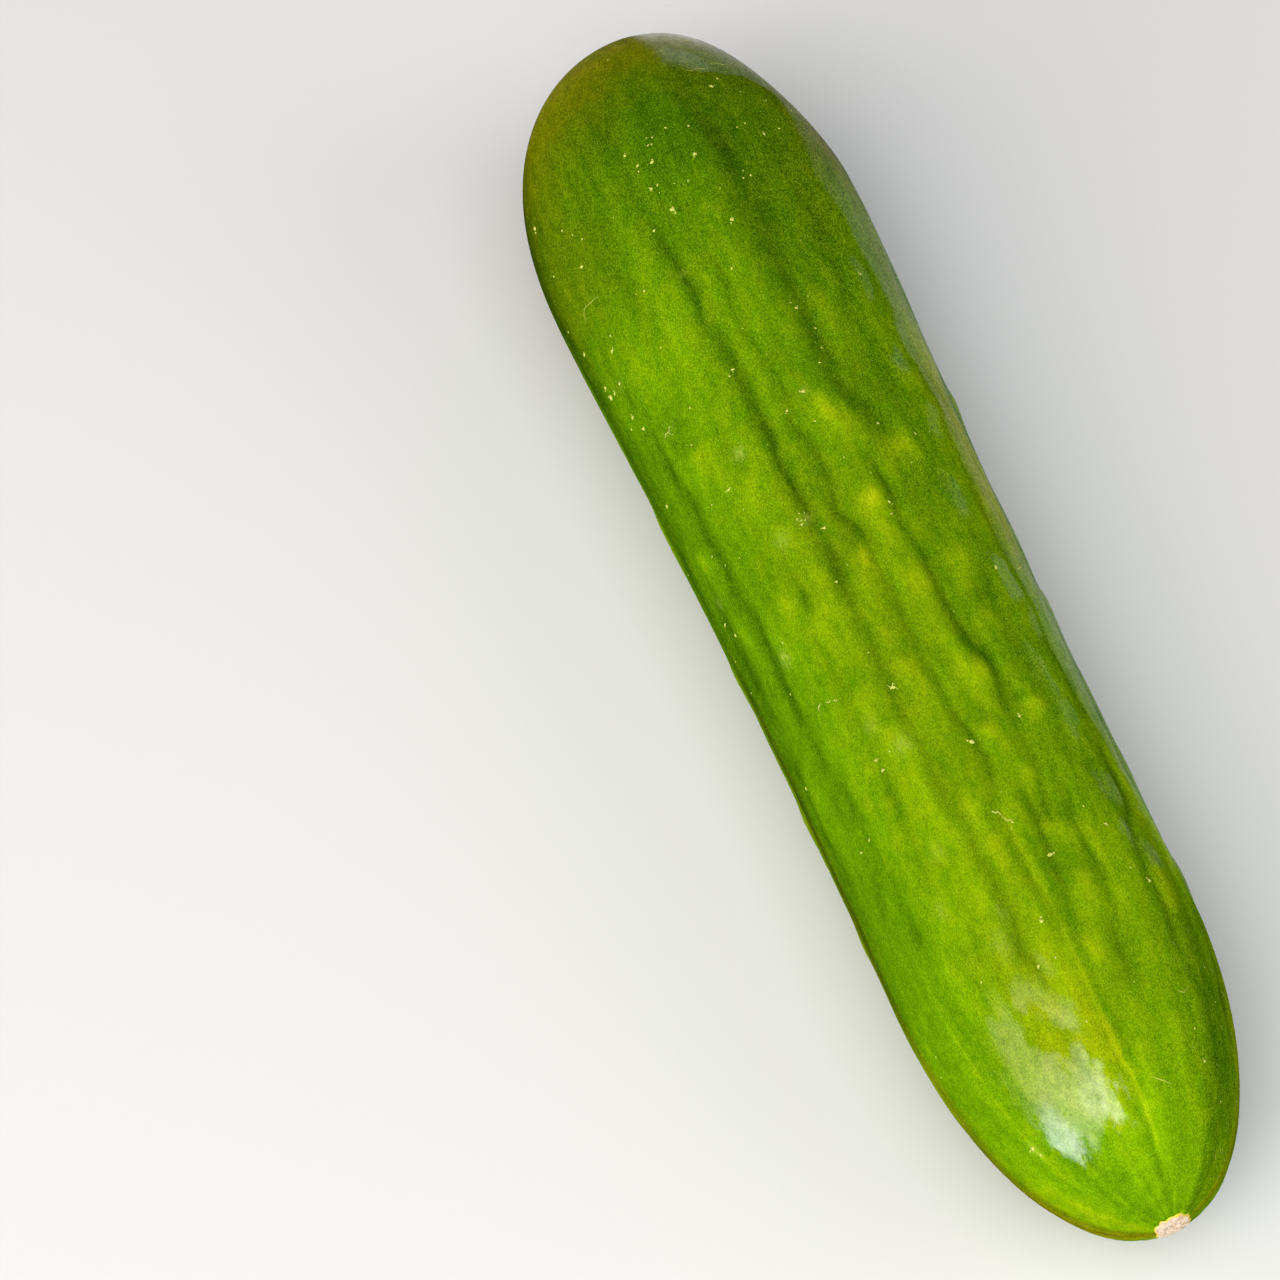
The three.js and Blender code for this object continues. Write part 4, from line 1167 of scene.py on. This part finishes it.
def dry_tissue(name, light, dark, fringe):
    """Dry cork or hair: light and dark grains, and on a scar painted shade in its hollows and a yellowed
    fringe.
    """
    material, tree, shader = new_material(name)
    grain = grain_node(tree, read_layer(tree, "place", "Vector"), CORK_CELLS_PER_MM)
    colour = mix_colours(tree, minus(tree, grain.outputs["Shade"], CORK_SHADE["less"]), dark, light)
    if fringe is not None:
        hollow = times(tree, read_layer(tree, "hollow"), CORK_SHADE["hollow"])
        colour = mix_colours(tree, hollow, colour, dark)
        colour = mix_colours(tree, read_layer(tree, "fringe"), colour, fringe)
    wire(tree, colour, shader.inputs["Base Color"])
    rough = plus(tree, times(tree, grain.outputs["Shade"], CORK_ROUGHNESS["grain"]), CORK_ROUGHNESS["base"])
    wire(tree, rough, shader.inputs["Roughness"])
    shader.inputs["Specular IOR Level"].default_value = 0.2
    raise_surface(tree, shader, grain.outputs["Height"], distance=0.00015, strength=0.6)
    return material


def pale_floor():
    material, tree, shader = new_material("pale_floor")
    shader.inputs["Base Color"].default_value = (*FLOOR_GREY, 1.0)
    shader.inputs["Roughness"].default_value = 0.9
    return material


# ---------------------------------------------------------------- the fruit itself

OUTLINE_STEP = 2.0  # degrees between the lines used to find the middle of the fruit

every_side = np.arange(0.0, 360.0, OUTLINE_STEP)
outline = skin_points(*np.meshgrid(skin_swings(), every_side, indexing="ij")).reshape(-1, 3)
middle_of_outline = (outline.min(axis=0) + outline.max(axis=0)) / 2.0
centre = np.array([middle_of_outline[0], middle_of_outline[1], 0.0])

skin = make_skin(waxy_skin())
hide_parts("cucumber")
tissues = {name: dry_tissue(name, *colours) for name, colours in DRY_TISSUES.items()}
make_scar("blossom_scar", BLOSSOM_SCAR, True, grain_size=0.42, rise=0.15, material=tissues["blossom_cork"])
make_scar("stalk_scar", STALK_SCAR, False, grain_size=0.7, rise=0.2, material=tissues["stalk_cork"])
make_flecks(tissues["fleck_cork"])
make_scratches(tissues["fleck_cork"])
make_hairs(tissues["fine_hair"])

# ---------------------------------------------------------------- floor, light and camera

VIEW = {"azimuth": 68.72, "elevation": 57.89, "distance": 700.0, "lens": 160.66, "sensor": 36.0}
VIEW_TARGET = (-7.13, -28.45, 20.0)
BLOSSOM_SIDE = (70.0, -10.0, 25.0)
MIDDLE = (0.0, 0.0, 20.0)
SOFT_LIGHTS = [  # name, azimuth, elevation, distance, width and height, power, colour, what it aims at
    ("low_window_pane", 24.0, 13.5, 1200.0, (440.0, 560.0), 8.2, (0.83, 0.89, 1.0), BLOSSOM_SIDE),
    ("high_window_pane", 45.0, 56.5, 1200.0, (620.0, 560.0), 5.5, (0.98, 0.97, 0.95), BLOSSOM_SIDE),
    ("window_frame_glow", 25.0, 38.0, 1200.0, (560.0, 480.0), 4.2, (1.0, 0.80, 0.58), BLOSSOM_SIDE),
    ("curtain_glow", -2.0, 40.0, 1200.0, (420.0, 1100.0), 3.4, (1.0, 0.84, 0.62), BLOSSOM_SIDE),
    ("overhead_softbox", 75.0, 62.0, 1500.0, (1200.0, 1200.0), 14.0, (1.0, 1.0, 0.98), MIDDLE),
    ("far_side_fill", 140.0, 35.0, 1500.0, (900.0, 900.0), 6.4, (1.0, 0.95, 0.86), MIDDLE),
    ("far_wall_glow", -150.0, 6.0, 1200.0, (900.0, 240.0), 0.75, (0.86, 0.92, 1.0), MIDDLE),
    ("stem_side_glow", -117.0, 5.5, 1200.0, (400.0, 420.0), 0.75, (0.66, 0.78, 1.0), MIDDLE),
]
ROOM_COLOUR = (0.85, 0.93, 1.0)
ROOM_STRENGTH = 0.12


def direction(azimuth, elevation):
    """Azimuth 0 points along -Y and 90 along +X."""
    azimuth, elevation = math.radians(azimuth), math.radians(elevation)
    flat = math.cos(elevation)
    return Vector((math.sin(azimuth) * flat, -math.cos(azimuth) * flat, math.sin(elevation)))


def set_up(name, data, target, azimuth, elevation, distance):
    """Puts a light or the camera at a distance from its target, facing it."""
    holder = bpy.data.objects.new(name, data)
    bpy.context.collection.objects.link(holder)
    away = direction(azimuth, elevation)
    holder.location = (Vector(target) + away * distance) * MM
    holder.rotation_euler = away.to_track_quat("Z", "Y").to_euler()
    return holder


bpy.ops.mesh.primitive_plane_add(size=6.0)
floor = bpy.context.object
floor.name = "floor"
floor.data.materials.append(pale_floor())

for name, azimuth, elevation, distance, size, power, colour, aim in SOFT_LIGHTS:
    light = bpy.data.lights.new(name, "AREA")
    light.shape = "RECTANGLE"
    light.size, light.size_y = (side * MM for side in size)
    light.energy = power
    light.color = colour
    set_up(name, light, aim, azimuth, elevation, distance)

world = bpy.data.worlds.new("soft_room")
world.use_nodes = True
world.node_tree.nodes["Background"].inputs["Color"].default_value = (*ROOM_COLOUR, 1.0)
world.node_tree.nodes["Background"].inputs["Strength"].default_value = ROOM_STRENGTH
bpy.context.scene.world = world
bpy.context.scene.view_settings.view_transform = "Standard"

lens = bpy.data.cameras.new("view")
lens.sensor_width = VIEW["sensor"]
lens.lens = VIEW["lens"]
target = Vector(VIEW_TARGET) - Vector(centre)
camera = set_up("view", lens, target, VIEW["azimuth"], VIEW["elevation"], VIEW["distance"])
bpy.context.scene.camera = camera
